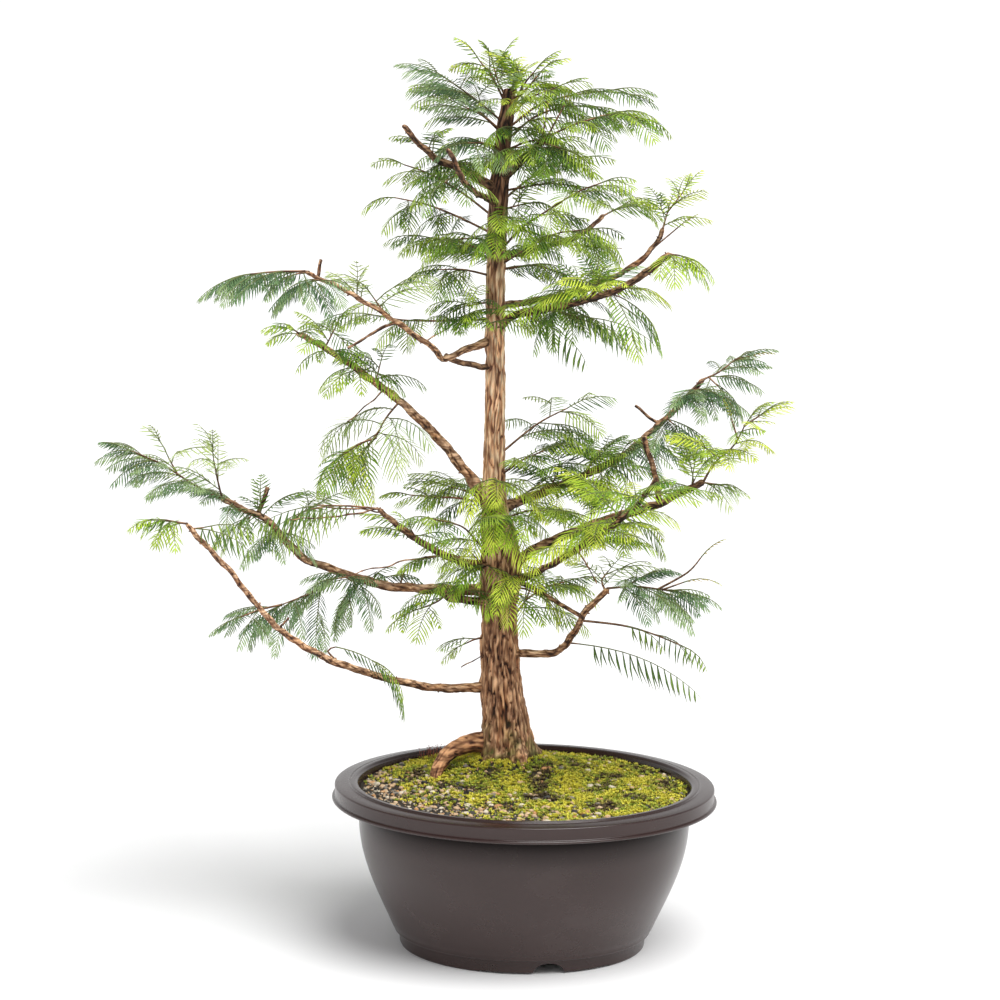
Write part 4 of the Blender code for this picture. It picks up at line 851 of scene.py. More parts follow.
def spray_frames(spray, stations, turn=0, raise_by=0, sway=0):
    """Points along a spray's spine as it bends down, with the vectors along, across and over it."""
    step = spray.length * MM / stations
    point, frames = spray.root.copy(), []
    for i in range(stations + 1):
        share = i / stations
        bearing = spray.bearing + turn + sway * share
        climb = max(spray.climb + raise_by - spray.droop * share ** 1.3, -86)
        along = heading(bearing, climb)
        level = heading(bearing - 90, 0)
        over = level.cross(along)
        roll = math.radians(spray.roll)
        side = level * math.cos(roll) + over * math.sin(roll)
        frames.append((point.copy(), along, side, side.cross(along)))
        point += along * step
    return frames


def in_trunk(frames):
    """Whether a spray's outer half runs into the trunk."""
    for point, _, _, _ in frames[len(frames) // 3:]:
        height = (point.z - GROUND) / MM
        centre = trunk_middle(height)
        if 0 < height < TRUNK_KNOTS[-1][0] and (point - centre).to_2d().length < trunk_radius(height) + 2 * MM:
            return True
    return False


class Needles:
    """The needles of one tint: for each its root, its way, the way that it faces, its bend and its size."""

    def __init__(self):
        self.rows = []
        self.shades = []

    def add(self, root, way, over, bend, length, width, shade):
        self.rows.append((*root, *way, *over, *bend, length, width))
        self.shades.append(shade)

    def pile(self):
        """A closed three-sided blade for each needle, flat below and with a ridge above."""
        rows = np.array(self.rows)
        root, way, over, bend = rows[:, 0:3], rows[:, 3:6], rows[:, 6:9], rows[:, 9:12]
        length, width = rows[:, 12:13], rows[:, 13:14]
        over = over - way * (over * way).sum(axis=1, keepdims=True)
        over /= np.linalg.norm(over, axis=1, keepdims=True)
        side = np.cross(way, over)
        points = []
        for share, wide in NEEDLE_STATIONS:
            middle = root + way * length * share + bend * share ** 2
            half = side * width * wide / 2
            points += [middle - half, middle + half, middle + over * NEEDLE_THICKNESS * MM * wide]
        points.append(root + way * length + bend)
        points = np.stack(points, axis=1).reshape(-1, 3)
        quads = [(0, 1, 4, 3), (1, 2, 5, 4), (2, 0, 3, 5)]
        triangles = [(0, 2, 1), (3, 4, 6), (4, 5, 6), (5, 3, 6)]
        starts = (np.arange(len(rows)) * 7)[:, None, None]
        pile = Pile()
        shades = np.array(self.shades)
        for shade in sorted(set(self.shades)):
            picked = starts[shades == shade]
            fours = (picked + np.array(quads)).reshape(-1, 4)
            threes = (picked + np.array(triangles)).reshape(-1, 3)
            pile.faces += [fours, threes]
            pile.places += [np.full(len(fours), shade), np.full(len(threes), shade)]
        pile.points = [points]
        pile.levels = [np.zeros(len(points))]
        pile.size = len(points)
        return pile


def leaf_out(frames, spray, kind, shade, rng, needles):
    """Sets a pair of needles at each station of a spray, and one at its tip."""
    last = len(frames) - 1
    half = min(spray.length * kind.reach, kind.longest * rng.uniform(0.85, 1.1)) * MM
    hang = kind.hang * rng.uniform(0.7, 1.3)
    for i, (at, along, side, over) in enumerate(frames):
        share = i / last
        if share < SPRAY_STALK:
            continue
        reach = half * math.sin(math.pi * (0.14 + 0.76 * share)) ** 0.75
        angle = kind.angle + 12 - 34 * share
        for sign in (-1, 1):
            fan = math.radians(angle + rng.uniform(-5, 5))
            drop = math.radians(hang + rng.uniform(-7, 7))
            out = side * sign * math.cos(drop) - over * math.sin(drop)
            way = along * math.cos(fan) + out * math.sin(fan)
            face = over * math.cos(drop) + side * sign * math.sin(drop)
            bend = along * rng.uniform(0.12, 0.30) - UP * rng.uniform(0.08, 0.26)
            length = reach * rng.uniform(0.9, 1.1)
            tone_place = min(shade + (share > YOUNG_FROM), 2)
            needles.add(at, way, face, bend * length, length, kind.width * MM, tone_place)
    at, along, _, over = frames[-1]
    needles.add(at, along, over, -UP * 0.1 * half, half * 0.45, kind.width * MM * 0.8, min(shade + 1, 2))


def grow_spray(spray, kind, rng, needles, stalks, order=0):
    """One spray of paired needles on its stalk, and the smaller sprays that stand on it."""
    pairs = max(6, round(spray.length / kind.pitch))
    sway = rng.uniform(-14, 14)
    for turn, raise_by in TRIES:
        frames = spray_frames(spray, pairs, turn, raise_by, sway)
        if not in_trunk(frames):
            break
    else:
        return
    shade = rng.choice((0, 1, 1, 2)) if order == 0 else rng.choice((0, 1, 2, 2))
    leaf_out(frames, spray, kind, shade, rng, needles)
    line = [frame[0] for frame in frames[:-1:2]] + [frames[-1][0]]
    radii = [(0.45 - 0.28 * i / (len(line) - 1)) * MM for i in range(len(line))]
    points, quads, caps, levels = tube(line, radii, 4)
    stalks.add(points, quads, caps, levels=levels)
    if order:
        return
    for k in range(kind.sides):
        at, along, _, _ = frames[round(len(frames) * rng.uniform(0.06, 0.4))]
        climb = math.degrees(math.asin(max(-1.0, min(1.0, along.z))))
        bearing = math.degrees(math.atan2(along.y, along.x)) + (-1) ** k * rng.uniform(30, 58)
        length = spray.length * rng.uniform(0.5, 0.75)
        side_spray = Spray(at, bearing, climb + rng.uniform(-4, 14), length, spray.droop * rng.uniform(0.7, 1.1),
                           rng.uniform(-SPRAY_ROLL, SPRAY_ROLL))
        grow_spray(side_spray, kind, rng, needles, stalks, order + 1)


def limb_knots(host, at, run, lines):
    """The knots of a limb, from a little inside the trunk or from the middle of the limb that bears it."""
    way = heading(*run[0][1:])
    if host == "trunk":
        start = foot_on_trunk(at, run[0][1])
        inner = start - way * 2.5 * MM
    else:
        start, _ = point_along(lines[host][0], at)
        inner = start
    return [inner] + run_knots(start + way * 0.3 * MM, run)


def grow_mass(plan, lines, twigs, stalks, needles):
    """One mass: its stem, from inside its host, and its sprays."""
    rng = random.Random(plan.name)
    knots = limb_knots(plan.host, plan.at, plan.run, lines)
    line, radii = rounded(knots, tapered(plan.thickness, len(knots)), TWIG_STEP)
    points, quads, caps, levels = tube(line, radii, TWIG_SIDES)
    twigs.add(points, quads, caps, levels=levels)
    lines[plan.name] = (line, radii)
    kind = FOLIAGE[plan.tint]
    for spray in shoot_sprays(line, plan, rng):
        grow_spray(spray, kind, rng, needles[plan.tint], stalks)


# Soil, moss and gravel


def soil_height(x, y):
    """The soil's surface: level round the trunk's foot, and falling to the pot's wall."""
    away = math.hypot(x - TRUNK_KNOTS[0][1] * MM, y - TRUNK_DEPTH * MM)
    return SOIL_EDGE + (SOIL_HEAP - SOIL_EDGE) * math.exp(-max(0.0, away - HEAP_FLAT_RADIUS) / HEAP_FALL)


def moss_share(x, y):
    """How mossy the soil is at a place, from 0 among the gravel to 1."""
    out = math.hypot(x, y) / SOIL_RADIUS
    front_left = max(0.0, (-0.55 * x - 0.84 * y) / SOIL_RADIUS)
    patch = noise.noise(Vector((x * 38, y * 38, 2.0))) + 0.6 * noise.noise(Vector((x * 95, y * 95, 5.0)))
    edge = max(0.0, out - 0.86) / 0.14
    left = max(0.0, -x / SOIL_RADIUS - 0.1)
    return min(max(1.05 - 1.0 * front_left - 0.35 * left - 0.45 * edge + 0.55 * patch, 0.0), 1.0)


def ground_height(x, y):
    """The soil's surface with its clods and its cushions of moss."""
    clods = noise.noise(Vector((x * 260, y * 260, 1.0))) * 0.7 + noise.noise(Vector((x * 620, y * 620, 8.0))) * 0.45
    cushion = moss_share(x, y) * (0.9 + 0.8 * noise.noise(Vector((x * 75, y * 75, 4.0))))
    return soil_height(x, y) + (clods + cushion - 0.6) * MM


def bowl_radius(height):
    """The bowl's outer radius, which rounds in from under the rim to the foot."""
    share = min(max((height - FOOT_HEIGHT) / (BOWL_TOP - FOOT_HEIGHT), 0.0), 1.0)
    return BOWL_FOOT_RADIUS + (BOWL_TOP_RADIUS - BOWL_FOOT_RADIUS) * math.sin(share * math.pi / 2) ** BOWL_CURVE


def build_ground():
    """The filling of the pot as one closed body, with a rough top."""
    turns = 2 * math.pi * np.arange(GROUND_SIDES) / GROUND_SIDES
    rings = []
    side = [(bowl_radius(z) - POT_WALL - WALL_GAP, z) for z in np.linspace(POT_FLOOR + WALL_GAP, BOWL_TOP, 8)]
    side += [(BOWL_TOP_RADIUS - POT_WALL - WALL_GAP, LIP_BASE), (SOIL_RADIUS - 0.0012, SOIL_EDGE - 0.003)]
    for radius, z in side:
        rings.append([(radius * math.cos(t), radius * math.sin(t), z) for t in turns])
    for k in range(GROUND_RINGS, 0, -1):
        radius = SOIL_RADIUS * k / GROUND_RINGS
        ring = [(radius * math.cos(t), radius * math.sin(t)) for t in turns]
        rings.append([(x, y, ground_height(x, y)) for x, y in ring])
    points = np.array(rings).reshape(-1, 3)
    middles = np.array([(0, 0, POT_FLOOR + WALL_GAP), (0, 0, ground_height(0, 0))])
    pile = Pile()
    pile.add(np.concatenate([points, middles]), *ring_faces(len(rings), GROUND_SIDES))
    return pile


def spot(rng, reach=0.985):
    """A place on the soil, evenly spread."""
    radius, turn = SOIL_RADIUS * reach * math.sqrt(rng.random()), rng.uniform(0, 2 * math.pi)
    return radius * math.cos(turn), radius * math.sin(turn)


def under_trunk(x, y, spare=0.0):
    away = math.hypot(x - TRUNK_KNOTS[0][1] * MM, y - TRUNK_DEPTH * MM)
    return away < TRUNK_KNOTS[0][2] * MM / 2 + spare


def grow_moss(rng):
    """Tufts of small pointed leaves where moss covers the soil, in shades dealt out by patches."""
    pile = Pile()
    made = 0
    while made < TUFTS:
        x, y = spot(rng)
        if rng.random() > moss_share(x, y) ** 1.3 or under_trunk(x, y, -1.5 * MM):
            continue
        made += 1
        patch = noise.noise(Vector((x * 48, y * 48, 9.0))) + rng.uniform(-0.35, 0.35)
        near = math.exp(-max(0.0, math.hypot(x + 0.011, y - 0.045) - 0.02) / 0.012)
        place = 0 if patch > 0.02 else 1 if patch > -0.28 or near > 0.5 else 2 if patch > -0.42 else 3
        base = Vector((x, y, ground_height(x, y) - 0.3 * MM))
        leaves = rng.randint(4, 6)
        points, faces = [], []
        size = rng.uniform(0.8, 1.35)
        first = rng.uniform(0, 2 * math.pi)
        for k in range(leaves):
            turn = first + 2 * math.pi * k / leaves + rng.uniform(-0.3, 0.3)
            out = Vector((math.cos(turn), math.sin(turn), 0))
            side = Vector((-math.sin(turn), math.cos(turn), 0)) * 0.42 * MM * size
            middle = base + out * 0.55 * MM * size + UP * rng.uniform(0.9, 1.5) * MM * size
            tip = base + out * rng.uniform(1.2, 1.7) * MM * size + UP * rng.uniform(1.3, 2.3) * MM * size
            start = len(points)
            points += [base, middle - side, tip, middle + side]
            faces.append((start, start + 1, start + 2, start + 3))
        pile.add(points, faces, place=place)
    return pile


def chipped(template, size, rng):
    """A stone's points: the template stretched, then cut back to a few flat faces."""
    points = template * size
    for _ in range(6):
        way = Vector((rng.gauss(0, 1), rng.gauss(0, 1), rng.gauss(0, 1))).normalized()
        way = np.array(way)
        reach = np.abs(points @ way).max() * rng.uniform(0.55, 0.85)
        points = points - np.outer(np.maximum(points @ way - reach, 0), way)
    return points


def ball_template(cuts):
    """Points and triangles of a ball of radius 1."""
    shape = bmesh.new()
    bmesh.ops.create_icosphere(shape, subdivisions=cuts, radius=1.0)
    points = np.array([vertex.co for vertex in shape.verts])
    faces = np.array([[vertex.index for vertex in face.verts] for face in shape.faces])
    shape.free()
    return points, faces


def lay_stones(rng):
    """Gravel and grit, thick where there is little moss and along the pot's wall."""
    pile = Pile()
    for count, cuts, low, high in ((STONES, 2, 1.0, 2.7), (GRITS, 1, 0.6, 1.3)):
        points, faces = ball_template(cuts)
        made = 0
        while made < count:
            x, y = spot(rng, 0.98)
            if rng.random() > 1.12 - moss_share(x, y) or under_trunk(x, y):
                continue
            made += 1
            size = rng.uniform(low, high) * MM
            stretch = np.array([rng.uniform(0.9, 1.4), rng.uniform(0.7, 1.0), rng.uniform(0.45, 0.75)]) * size
            stone = chipped(points, stretch, rng)
            turn = Matrix.Rotation(rng.uniform(0, 2 * math.pi), 3, "Z") @ Matrix.Rotation(rng.gauss(0, 0.35), 3, "X")
            stone = stone @ np.array(turn).T
            place = rng.choices(range(6), weights=(30, 15, 16, 16, 15, 8))[0]
            pile.add(stone + np.array((x, y, ground_height(x, y) + size * 0.25)), faces, place=place)
    return pile


def grow_stalks(rng):
    """The thin reddish stalks of fruiting moss at the back on the left."""
    pile = Pile()
    for _ in range(STALKS):
        x, y = -0.062 + rng.gauss(0, 0.006), 0.078 + rng.gauss(0, 0.006)
        if math.hypot(x, y) > SOIL_RADIUS - 0.004:
            continue
        base = Vector((x, y, ground_height(x, y)))
        lean = Vector((rng.uniform(-0.3, 0.3), rng.uniform(-0.3, 0.3), 1)).normalized()
        top = base + lean * rng.uniform(5, 10) * MM
        bent = top + Vector((rng.uniform(-1, 1), rng.uniform(-1, 1), -0.4)) * MM
        points, quads, caps, _ = tube([base, base.lerp(top, 0.6), top, bent], [0.14 * MM, 0.12 * MM, 0.14 * MM,
                                                                            0.3 * MM], 4)
        pile.add(points, quads, caps)
    return pile


# The pot


def arc(middle, radius, first, last, steps):
    """Points on an arc of a profile, from the first angle to the last, in degrees."""
    angles = [math.radians(first + (last - first) * i / steps) for i in range(steps + 1)]
    return [(middle[0] + radius * math.cos(a), middle[1] + radius * math.sin(a)) for a in angles]


def pot_profile():
    """Radius and height from the middle of the underside, up the outside, over the rim and down to the floor."""
    underside = POT_FLOOR - POT_WALL
    tip = LIP_THICKNESS / 2
    pad = [(0, 0), (PAD_RADIUS - 0.001, 0), (PAD_RADIUS, 0.001), (PAD_RADIUS + 0.001, underside)]
    foot = [(FOOT_RADIUS - FOOT_WALL - 0.001, underside), (FOOT_RADIUS - FOOT_WALL, 0.0006)]
    foot += [(FOOT_RADIUS - FOOT_WALL + 0.0006, 0)]
    foot += arc((FOOT_RADIUS - 0.0012, 0.0012), 0.0012, -90, 0, 4)
    foot += [(FOOT_RADIUS + 0.0002, FOOT_HEIGHT - 0.0008), (FOOT_RADIUS + 0.0006, FOOT_HEIGHT)]
    shoulder = arc((BOWL_FOOT_RADIUS - 0.0012, FOOT_HEIGHT + 0.0018), 0.0016, -90, 10, 5)
    bowl = [(bowl_radius(z) + 0.0003, z) for z in np.linspace(0.0135, LIP_BASE + 0.003, 26)]
    under_rim = arc((RIM_INNER_RADIUS + POT_WALL + 0.0015, RIM_UNDERSIDE - 0.0012), 0.0014, 170, 90, 3)
    under_rim += [(BAND_RADIUS - POT_WALL - 0.001, RIM_UNDERSIDE - 0.0004), (BAND_RADIUS - POT_WALL, LIP_BASE + 0.002)]
    under_rim += [(BAND_RADIUS - 0.6 * POT_WALL, LIP_BASE)]
    lip = arc((LIP_RADIUS - tip, LIP_BASE + tip), tip, -90, 80, 6)
    lip += arc((BAND_RADIUS + 0.0006, LIP_BASE + LIP_THICKNESS + 0.0008), 0.0008, 260, 185, 3)
    edge = BAND_RADIUS - RIM_EDGE_ROUND
    outer = arc((edge, RIM_EDGE_HEIGHT - RIM_EDGE_ROUND), RIM_EDGE_ROUND, 2, 84, 5)
    outer += [((edge + RIM_STEP_RADIUS) / 2, (RIM_EDGE_HEIGHT + RIM_STEP_HEIGHT) / 2 + 0.0002)]
    step = arc((RIM_STEP_RADIUS + 0.0006, RIM_STEP_HEIGHT + 0.0009), 0.0009, 270, 190, 4)
    crown = arc((RIM_CREST_RADIUS - 0.0006, RIM_TOP - 0.0008), 0.0008, 20, 90, 4)
    inner = arc((RIM_INNER_RADIUS + RIM_ROUND, RIM_TOP - RIM_ROUND), RIM_ROUND, 90, 180, 7)
    inner += [(BOWL_TOP_RADIUS - POT_WALL, LIP_BASE)]
    inside = [(bowl_radius(z) - POT_WALL, z) for z in np.linspace(BOWL_TOP, 0.0145, 10)]
    floor = [(BOWL_FOOT_RADIUS - FOOT_WALL, POT_FLOOR), (0, POT_FLOOR)]
    return pad + foot + shoulder + bowl + under_rim + lip + outer + step + crown + inner + inside + floor


def lathe_mesh(profile, sides):
    """A closed turned shape, whose profile starts and ends on the axis."""
    turns = 2 * math.pi * np.arange(sides) / sides
    rings = [[(r * math.cos(t), r * math.sin(t), z) for t in turns] for r, z in profile[1:-1]]
    middles = [(0, 0, profile[0][1]), (0, 0, profile[-1][1])]
    pile = Pile()
    pile.add(np.concatenate([np.array(rings).reshape(-1, 3), middles]), *ring_faces(len(rings), sides))
    return pile.mesh("lathe")


def cutter_mesh(kind, place):
    """A block or a rod that cuts the pot, put in place by a matrix."""
    shape = bmesh.new()
    if kind == "block":
        bmesh.ops.create_cube(shape, size=1.0, matrix=place)
    else:
        bmesh.ops.create_cone(shape, cap_ends=True, segments=NOTCH_SIDES, radius1=1, radius2=1, depth=1, matrix=place)
    mesh = bpy.data.meshes.new(kind)
    shape.to_mesh(mesh)
    shape.free()
    return mesh


def build_pot():
    """The pot's mesh, with a drain notch, a shallow relief and a drain hole at each third of its foot."""
    cutters = []
    for k in range(FOOT_COUNT):
        turn = Matrix.Rotation(math.radians(FIRST_NOTCH_BEARING + 360 * k / FOOT_COUNT), 4, "Z")
        ring = turn @ Matrix.Translation((FOOT_RADIUS - NOTCH_DEPTH / 3, 0, 0))
        cutters.append(cutter_mesh("block", ring @ Matrix.Diagonal((NOTCH_DEPTH, RELIEF_WIDTH, 2 * RELIEF_HEIGHT, 1))))
        arch = Matrix.Diagonal((1, NOTCH_WIDTH / 2, NOTCH_HEIGHT, 1)) @ Matrix.Rotation(math.pi / 2, 4, "Y")
        cutters.append(cutter_mesh("rod", ring @ arch @ Matrix.Diagonal((1, 1, NOTCH_DEPTH, 1))))
        drain = turn @ Matrix.Translation((DRAIN_PLACE, 0, POT_FLOOR))
        cutters.append(cutter_mesh("rod", drain @ Matrix.Diagonal((DRAIN_RADIUS, DRAIN_RADIUS, 4 * POT_WALL, 1))))
    base = bpy.data.objects.new("pot_base", lathe_mesh(pot_profile(), POT_SIDES))
    bpy.context.scene.collection.objects.link(base)
    helpers = bpy.data.collections.new("pot_cutters")
    bpy.context.scene.collection.children.link(helpers)
    others = [bpy.data.objects.new("pot_cutter", mesh) for mesh in cutters]
    for other in others:
        helpers.objects.link(other)
    modifier = base.modifiers.new("cut", "BOOLEAN")
    modifier.operation = "DIFFERENCE"
    modifier.operand_type = "COLLECTION"
    modifier.collection = helpers
    graph = bpy.context.evaluated_depsgraph_get()
    mesh = bpy.data.meshes.new_from_object(base.evaluated_get(graph))
    for obj in [base, *others]:
        bpy.data.objects.remove(obj, do_unlink=True)
    bpy.data.collections.remove(helpers)
    mesh.materials.clear()
    return mesh


# Materials


def new_material(name):
    material = bpy.data.materials.new(name)
    material.use_nodes = True
    return material, material.node_tree, material.node_tree.nodes["Principled BSDF"]


def node_of(tree, kind, values=None, **settings):
    """A node with these settings and input values."""
    node = tree.nodes.new(kind)
    for key, value in settings.items():
        setattr(node, key, value)
    for key, value in (values or {}).items():
        node.inputs[key].default_value = value
    return node


def noise_of(tree, scale, detail=4.0, stretch=(1, 1, 1), roughness=0.55):
    """Noise in the object's own space, of this many waves a metre."""
    place = node_of(tree, "ShaderNodeTexCoord")
    mapping = node_of(tree, "ShaderNodeMapping", {"Scale": stretch})
    texture = node_of(tree, "ShaderNodeTexNoise", {"Scale": scale, "Detail": detail, "Roughness": roughness})
    tree.links.new(place.outputs["Object"], mapping.inputs["Vector"])
    tree.links.new(mapping.outputs["Vector"], texture.inputs["Vector"])
    return texture.outputs["Fac"]


def ramp_of(tree, source, stops):
    """Colours by the source's value: each stop is a place from 0 to 1 and a colour."""
    ramp = node_of(tree, "ShaderNodeValToRGB")
    elements = ramp.color_ramp.elements
    while len(elements) < len(stops):
        elements.new(0.5)
    for element, (place, colour) in zip(elements, stops):
        element.position = place
        element.color = (*colour, 1.0)
    tree.links.new(source, ramp.inputs["Fac"])
    return ramp.outputs["Color"]


def bump_of(tree, shader, source, strength, distance):
    bump = node_of(tree, "ShaderNodeBump", {"Strength": strength, "Distance": distance})
    tree.links.new(source, bump.inputs["Height"])
    tree.links.new(bump.outputs["Normal"], shader.inputs["Normal"])


def roughness_of(tree, shader, source, low, high):
    tree.links.new(share_of(tree, source, 0.0, 1.0, low, high), shader.inputs["Roughness"])


def tone(colour, factor):
    return tuple(min(part * factor, 1.0) for part in colour)


def needle_material(name, colour):
    """Needles: one base colour with a faint drift, a soft gloss and a fine grain."""
    material, tree, shader = new_material(name)
    drift = noise_of(tree, 55, 2.0)
    tree.links.new(ramp_of(tree, drift, ((0.3, tone(colour, 0.84)), (0.7, tone(colour, 1.16)))),
                   shader.inputs["Base Color"])
    roughness_of(tree, shader, drift, 0.42, 0.58)
    shader.inputs["Specular IOR Level"].default_value = 0.4
    bump_of(tree, shader, noise_of(tree, 2600, 1.0), 0.25, 0.0002)
    return material


def plain_material(name, colour, roughness, scale, grain):
    """Moss, stone and stalks: a colour that drifts, and a grain."""
    material, tree, shader = new_material(name)
    drift = noise_of(tree, scale, 5.0)
    tree.links.new(ramp_of(tree, drift, ((0.28, tone(colour, 0.62)), (0.5, colour), (0.74, tone(colour, 1.3)))),
                   shader.inputs["Base Color"])
    roughness_of(tree, shader, drift, roughness - 0.08, min(roughness + 0.06, 1.0))
    bump_of(tree, shader, noise_of(tree, grain, 6.0), 0.5, 0.0004)
    return material


def share_of(tree, source, low, high, least=0.0, most=1.0):
    """The source's run from low to high, turned into the run from least to most."""
    spread = node_of(tree, "ShaderNodeMapRange", {"From Min": low, "From Max": high, "To Min": least, "To Max": most})
    tree.links.new(source, spread.inputs["Value"])
    return spread.outputs["Result"]


def mix_of(tree, amount, base, other, blend="MIX"):
    """One colour over another. The amount and the other are sockets or plain values."""
    mix = node_of(tree, "ShaderNodeMix", data_type="RGBA", blend_type=blend)
    for place, value in ((0, amount), (6, base), (7, other)):
        if isinstance(value, bpy.types.NodeSocket):
            tree.links.new(value, mix.inputs[place])
        else:
            mix.inputs[place].default_value = value
    return mix.outputs[2]


def height_of(tree):
    """The height above what the pot stands on, in metres."""
    place = node_of(tree, "ShaderNodeTexCoord")
    split = node_of(tree, "ShaderNodeSeparateXYZ")
    tree.links.new(place.outputs["Object"], split.inputs[0])
    return split.outputs["Z"]


def cracks_of(tree, scale, stretch):
    """From 0 in a crack to 1 on the plates between cracks."""
    place = node_of(tree, "ShaderNodeTexCoord")
    mapping = node_of(tree, "ShaderNodeMapping", {"Scale": stretch})
    cells = node_of(tree, "ShaderNodeTexVoronoi", {"Scale": scale}, feature="DISTANCE_TO_EDGE")
    tree.links.new(place.outputs["Object"], mapping.inputs["Vector"])
    tree.links.new(mapping.outputs["Vector"], cells.inputs["Vector"])
    return share_of(tree, cells.outputs["Distance"], 0.0, 0.3)


def bark_material(name, tones, warm, fibre, grain_way, zones=(), mossy=False):
    """Bark: dark in the furrows of the mesh and in cracks, paler on its strips, with painted light where it faces up.

    Tones are the colours of furrow, middle and ridge. Each zone is a rise in height and the tones that take over."""
    material, tree, shader = new_material(name)
    level = share_of(tree, node_of(tree, "ShaderNodeAttribute", attribute_name="level").outputs["Fac"], -1.15, 0.95)
    # Painted light from above: the level is raised where the surface faces up and lowered where it faces down.
    split = node_of(tree, "ShaderNodeSeparateXYZ")
    tree.links.new(node_of(tree, "ShaderNodeNewGeometry").outputs["Normal"], split.inputs[0])
    lift = node_of(tree, "ShaderNodeMath", operation="ADD")
    tree.links.new(level, lift.inputs[0])
    tree.links.new(share_of(tree, split.outputs["Z"], -0.6, 0.9, -0.22, 0.30), lift.inputs[1])
    level = lift.outputs[0]
    height = height_of(tree)
    base = ramp_of(tree, level, tuple(zip((0.10, 0.48, 0.9), tones)))
    for rise, others in zones:
        other = ramp_of(tree, level, tuple(zip((0.10, 0.48, 0.9), others)))
        base = mix_of(tree, share_of(tree, height, *rise), base, other)
    if mossy:
        low = node_of(tree, "ShaderNodeMath", operation="MULTIPLY")
        tree.links.new(share_of(tree, height, *GREEN_RISE, 0.8, 0.0), low.inputs[0])
        tree.links.new(share_of(tree, noise_of(tree, 90, 3.0), 0.42, 0.62), low.inputs[1])
        base = mix_of(tree, low.outputs[0], base, GREEN_FOOT)
    streaks = share_of(tree, noise_of(tree, 130, 4.0, grain_way), 0.5, 0.72, 0.0, 0.55)
    base = mix_of(tree, streaks, base, (*warm, 1.0), "SOFT_LIGHT")
    cracks = ramp_of(tree, cracks_of(tree, fibre * 0.4, grain_way), ((0.1, (0.25, 0.18, 0.15)), (0.7, (1, 1, 1))))
    base = mix_of(tree, 0.8, base, cracks, "MULTIPLY")
    grain = noise_of(tree, fibre, 6.0, grain_way, 0.72)
    fine = ramp_of(tree, grain, ((0.3, (0.45, 0.4, 0.36)), (0.5, (0.92, 0.9, 0.88)), (0.68, (1.4, 1.4, 1.4))))
    tree.links.new(mix_of(tree, 0.85, base, fine, "MULTIPLY"), shader.inputs["Base Color"])
    roughness_of(tree, shader, grain, 0.95, 0.72)
    bump_of(tree, shader, grain, 0.7, 0.0006)
    return material


def pot_material():
    """Dark taupe-brown moulded plastic with a half gloss, faint scuffs and dust, and painted shade under the lip."""
    material, tree, shader = new_material("pot_plastic")
    cloud = noise_of(tree, 14, 6.0, (1, 1, 1.6), 0.65)
    base = ramp_of(tree, cloud, ((0.3, (0.025, 0.010, 0.008)), (0.55, (0.031, 0.014, 0.012)),
                                 (0.8, (0.047, 0.028, 0.025))))
    scuffs = share_of(tree, noise_of(tree, 160, 8.0, (1, 1, 4), 0.75), 0.66, 0.86, 0.0, 0.35)
    base = mix_of(tree, scuffs, base, (0.15, 0.12, 0.11, 1.0))
    # Painted shade: the colour and the gloss are darkened in a band just under the lip.
    under = ramp_of(tree, height_of(tree), UNDER_LIP_PAINTED_SHADE)
    tree.links.new(mix_of(tree, 1.0, base, under, "MULTIPLY"), shader.inputs["Base Color"])
    tree.links.new(share_of(tree, under, 0.0, 1.0, 0.0, 0.55), shader.inputs["Specular IOR Level"])
    roughness_of(tree, shader, cloud, 0.18, 0.34)
    bump_of(tree, shader, noise_of(tree, 900, 3.0), 0.06, 0.0003)
    return material


def soil_material():
    """Dark damp soil between the stones and the moss."""
    return plain_material("soil_dark", (0.035, 0.026, 0.016), 0.9, 420, 1500)


# The scene round the plant


def add_floor():
    mesh = bpy.data.meshes.new("floor")
    shape = bmesh.new()
    bmesh.ops.create_circle(shape, cap_ends=True, segments=96, radius=FLOOR_RADIUS)
    shape.to_mesh(mesh)
    shape.free()
    material, tree, shader = new_material("floor_paper")
    drift = noise_of(tree, 1.5, 2.0)
    tree.links.new(ramp_of(tree, drift, ((0.0, (0.955, 0.955, 0.95)), (1.0, (0.97, 0.97, 0.965)))),
                   shader.inputs["Base Color"])
    shader.inputs["Roughness"].default_value = 0.9
    mesh.materials.append(material)
    floor = bpy.data.objects.new("floor", mesh)
    bpy.context.scene.collection.objects.link(floor)


def light_scene():
    """White to the horizon and dimmer overhead, with a wide soft sun from the upper right at the front."""
    world = bpy.data.worlds.new("studio")
    world.use_nodes = True
    tree = world.node_tree
    place = node_of(tree, "ShaderNodeTexCoord")
    split = node_of(tree, "ShaderNodeSeparateXYZ")
    tree.links.new(place.outputs["Generated"], split.inputs[0])
    sky = ramp_of(tree, split.outputs["Z"], SKY)
    tree.links.new(sky, tree.nodes["Background"].inputs["Color"])
    tree.nodes["Background"].inputs["Strength"].default_value = SKY_STRENGTH
    bpy.context.scene.world = world
    light = bpy.data.lights.new("sun", "SUN")
    light.angle = math.radians(SUN_WIDTH)
    light.energy = SUN_STRENGTH
    sun = bpy.data.objects.new("sun", light)
    sun.rotation_mode = "QUATERNION"
    sun.rotation_quaternion = Vector(SUN_PLACE).to_track_quat("Z", "Y")
    bpy.context.scene.collection.objects.link(sun)
    bpy.context.scene.view_settings.view_transform = "Standard"


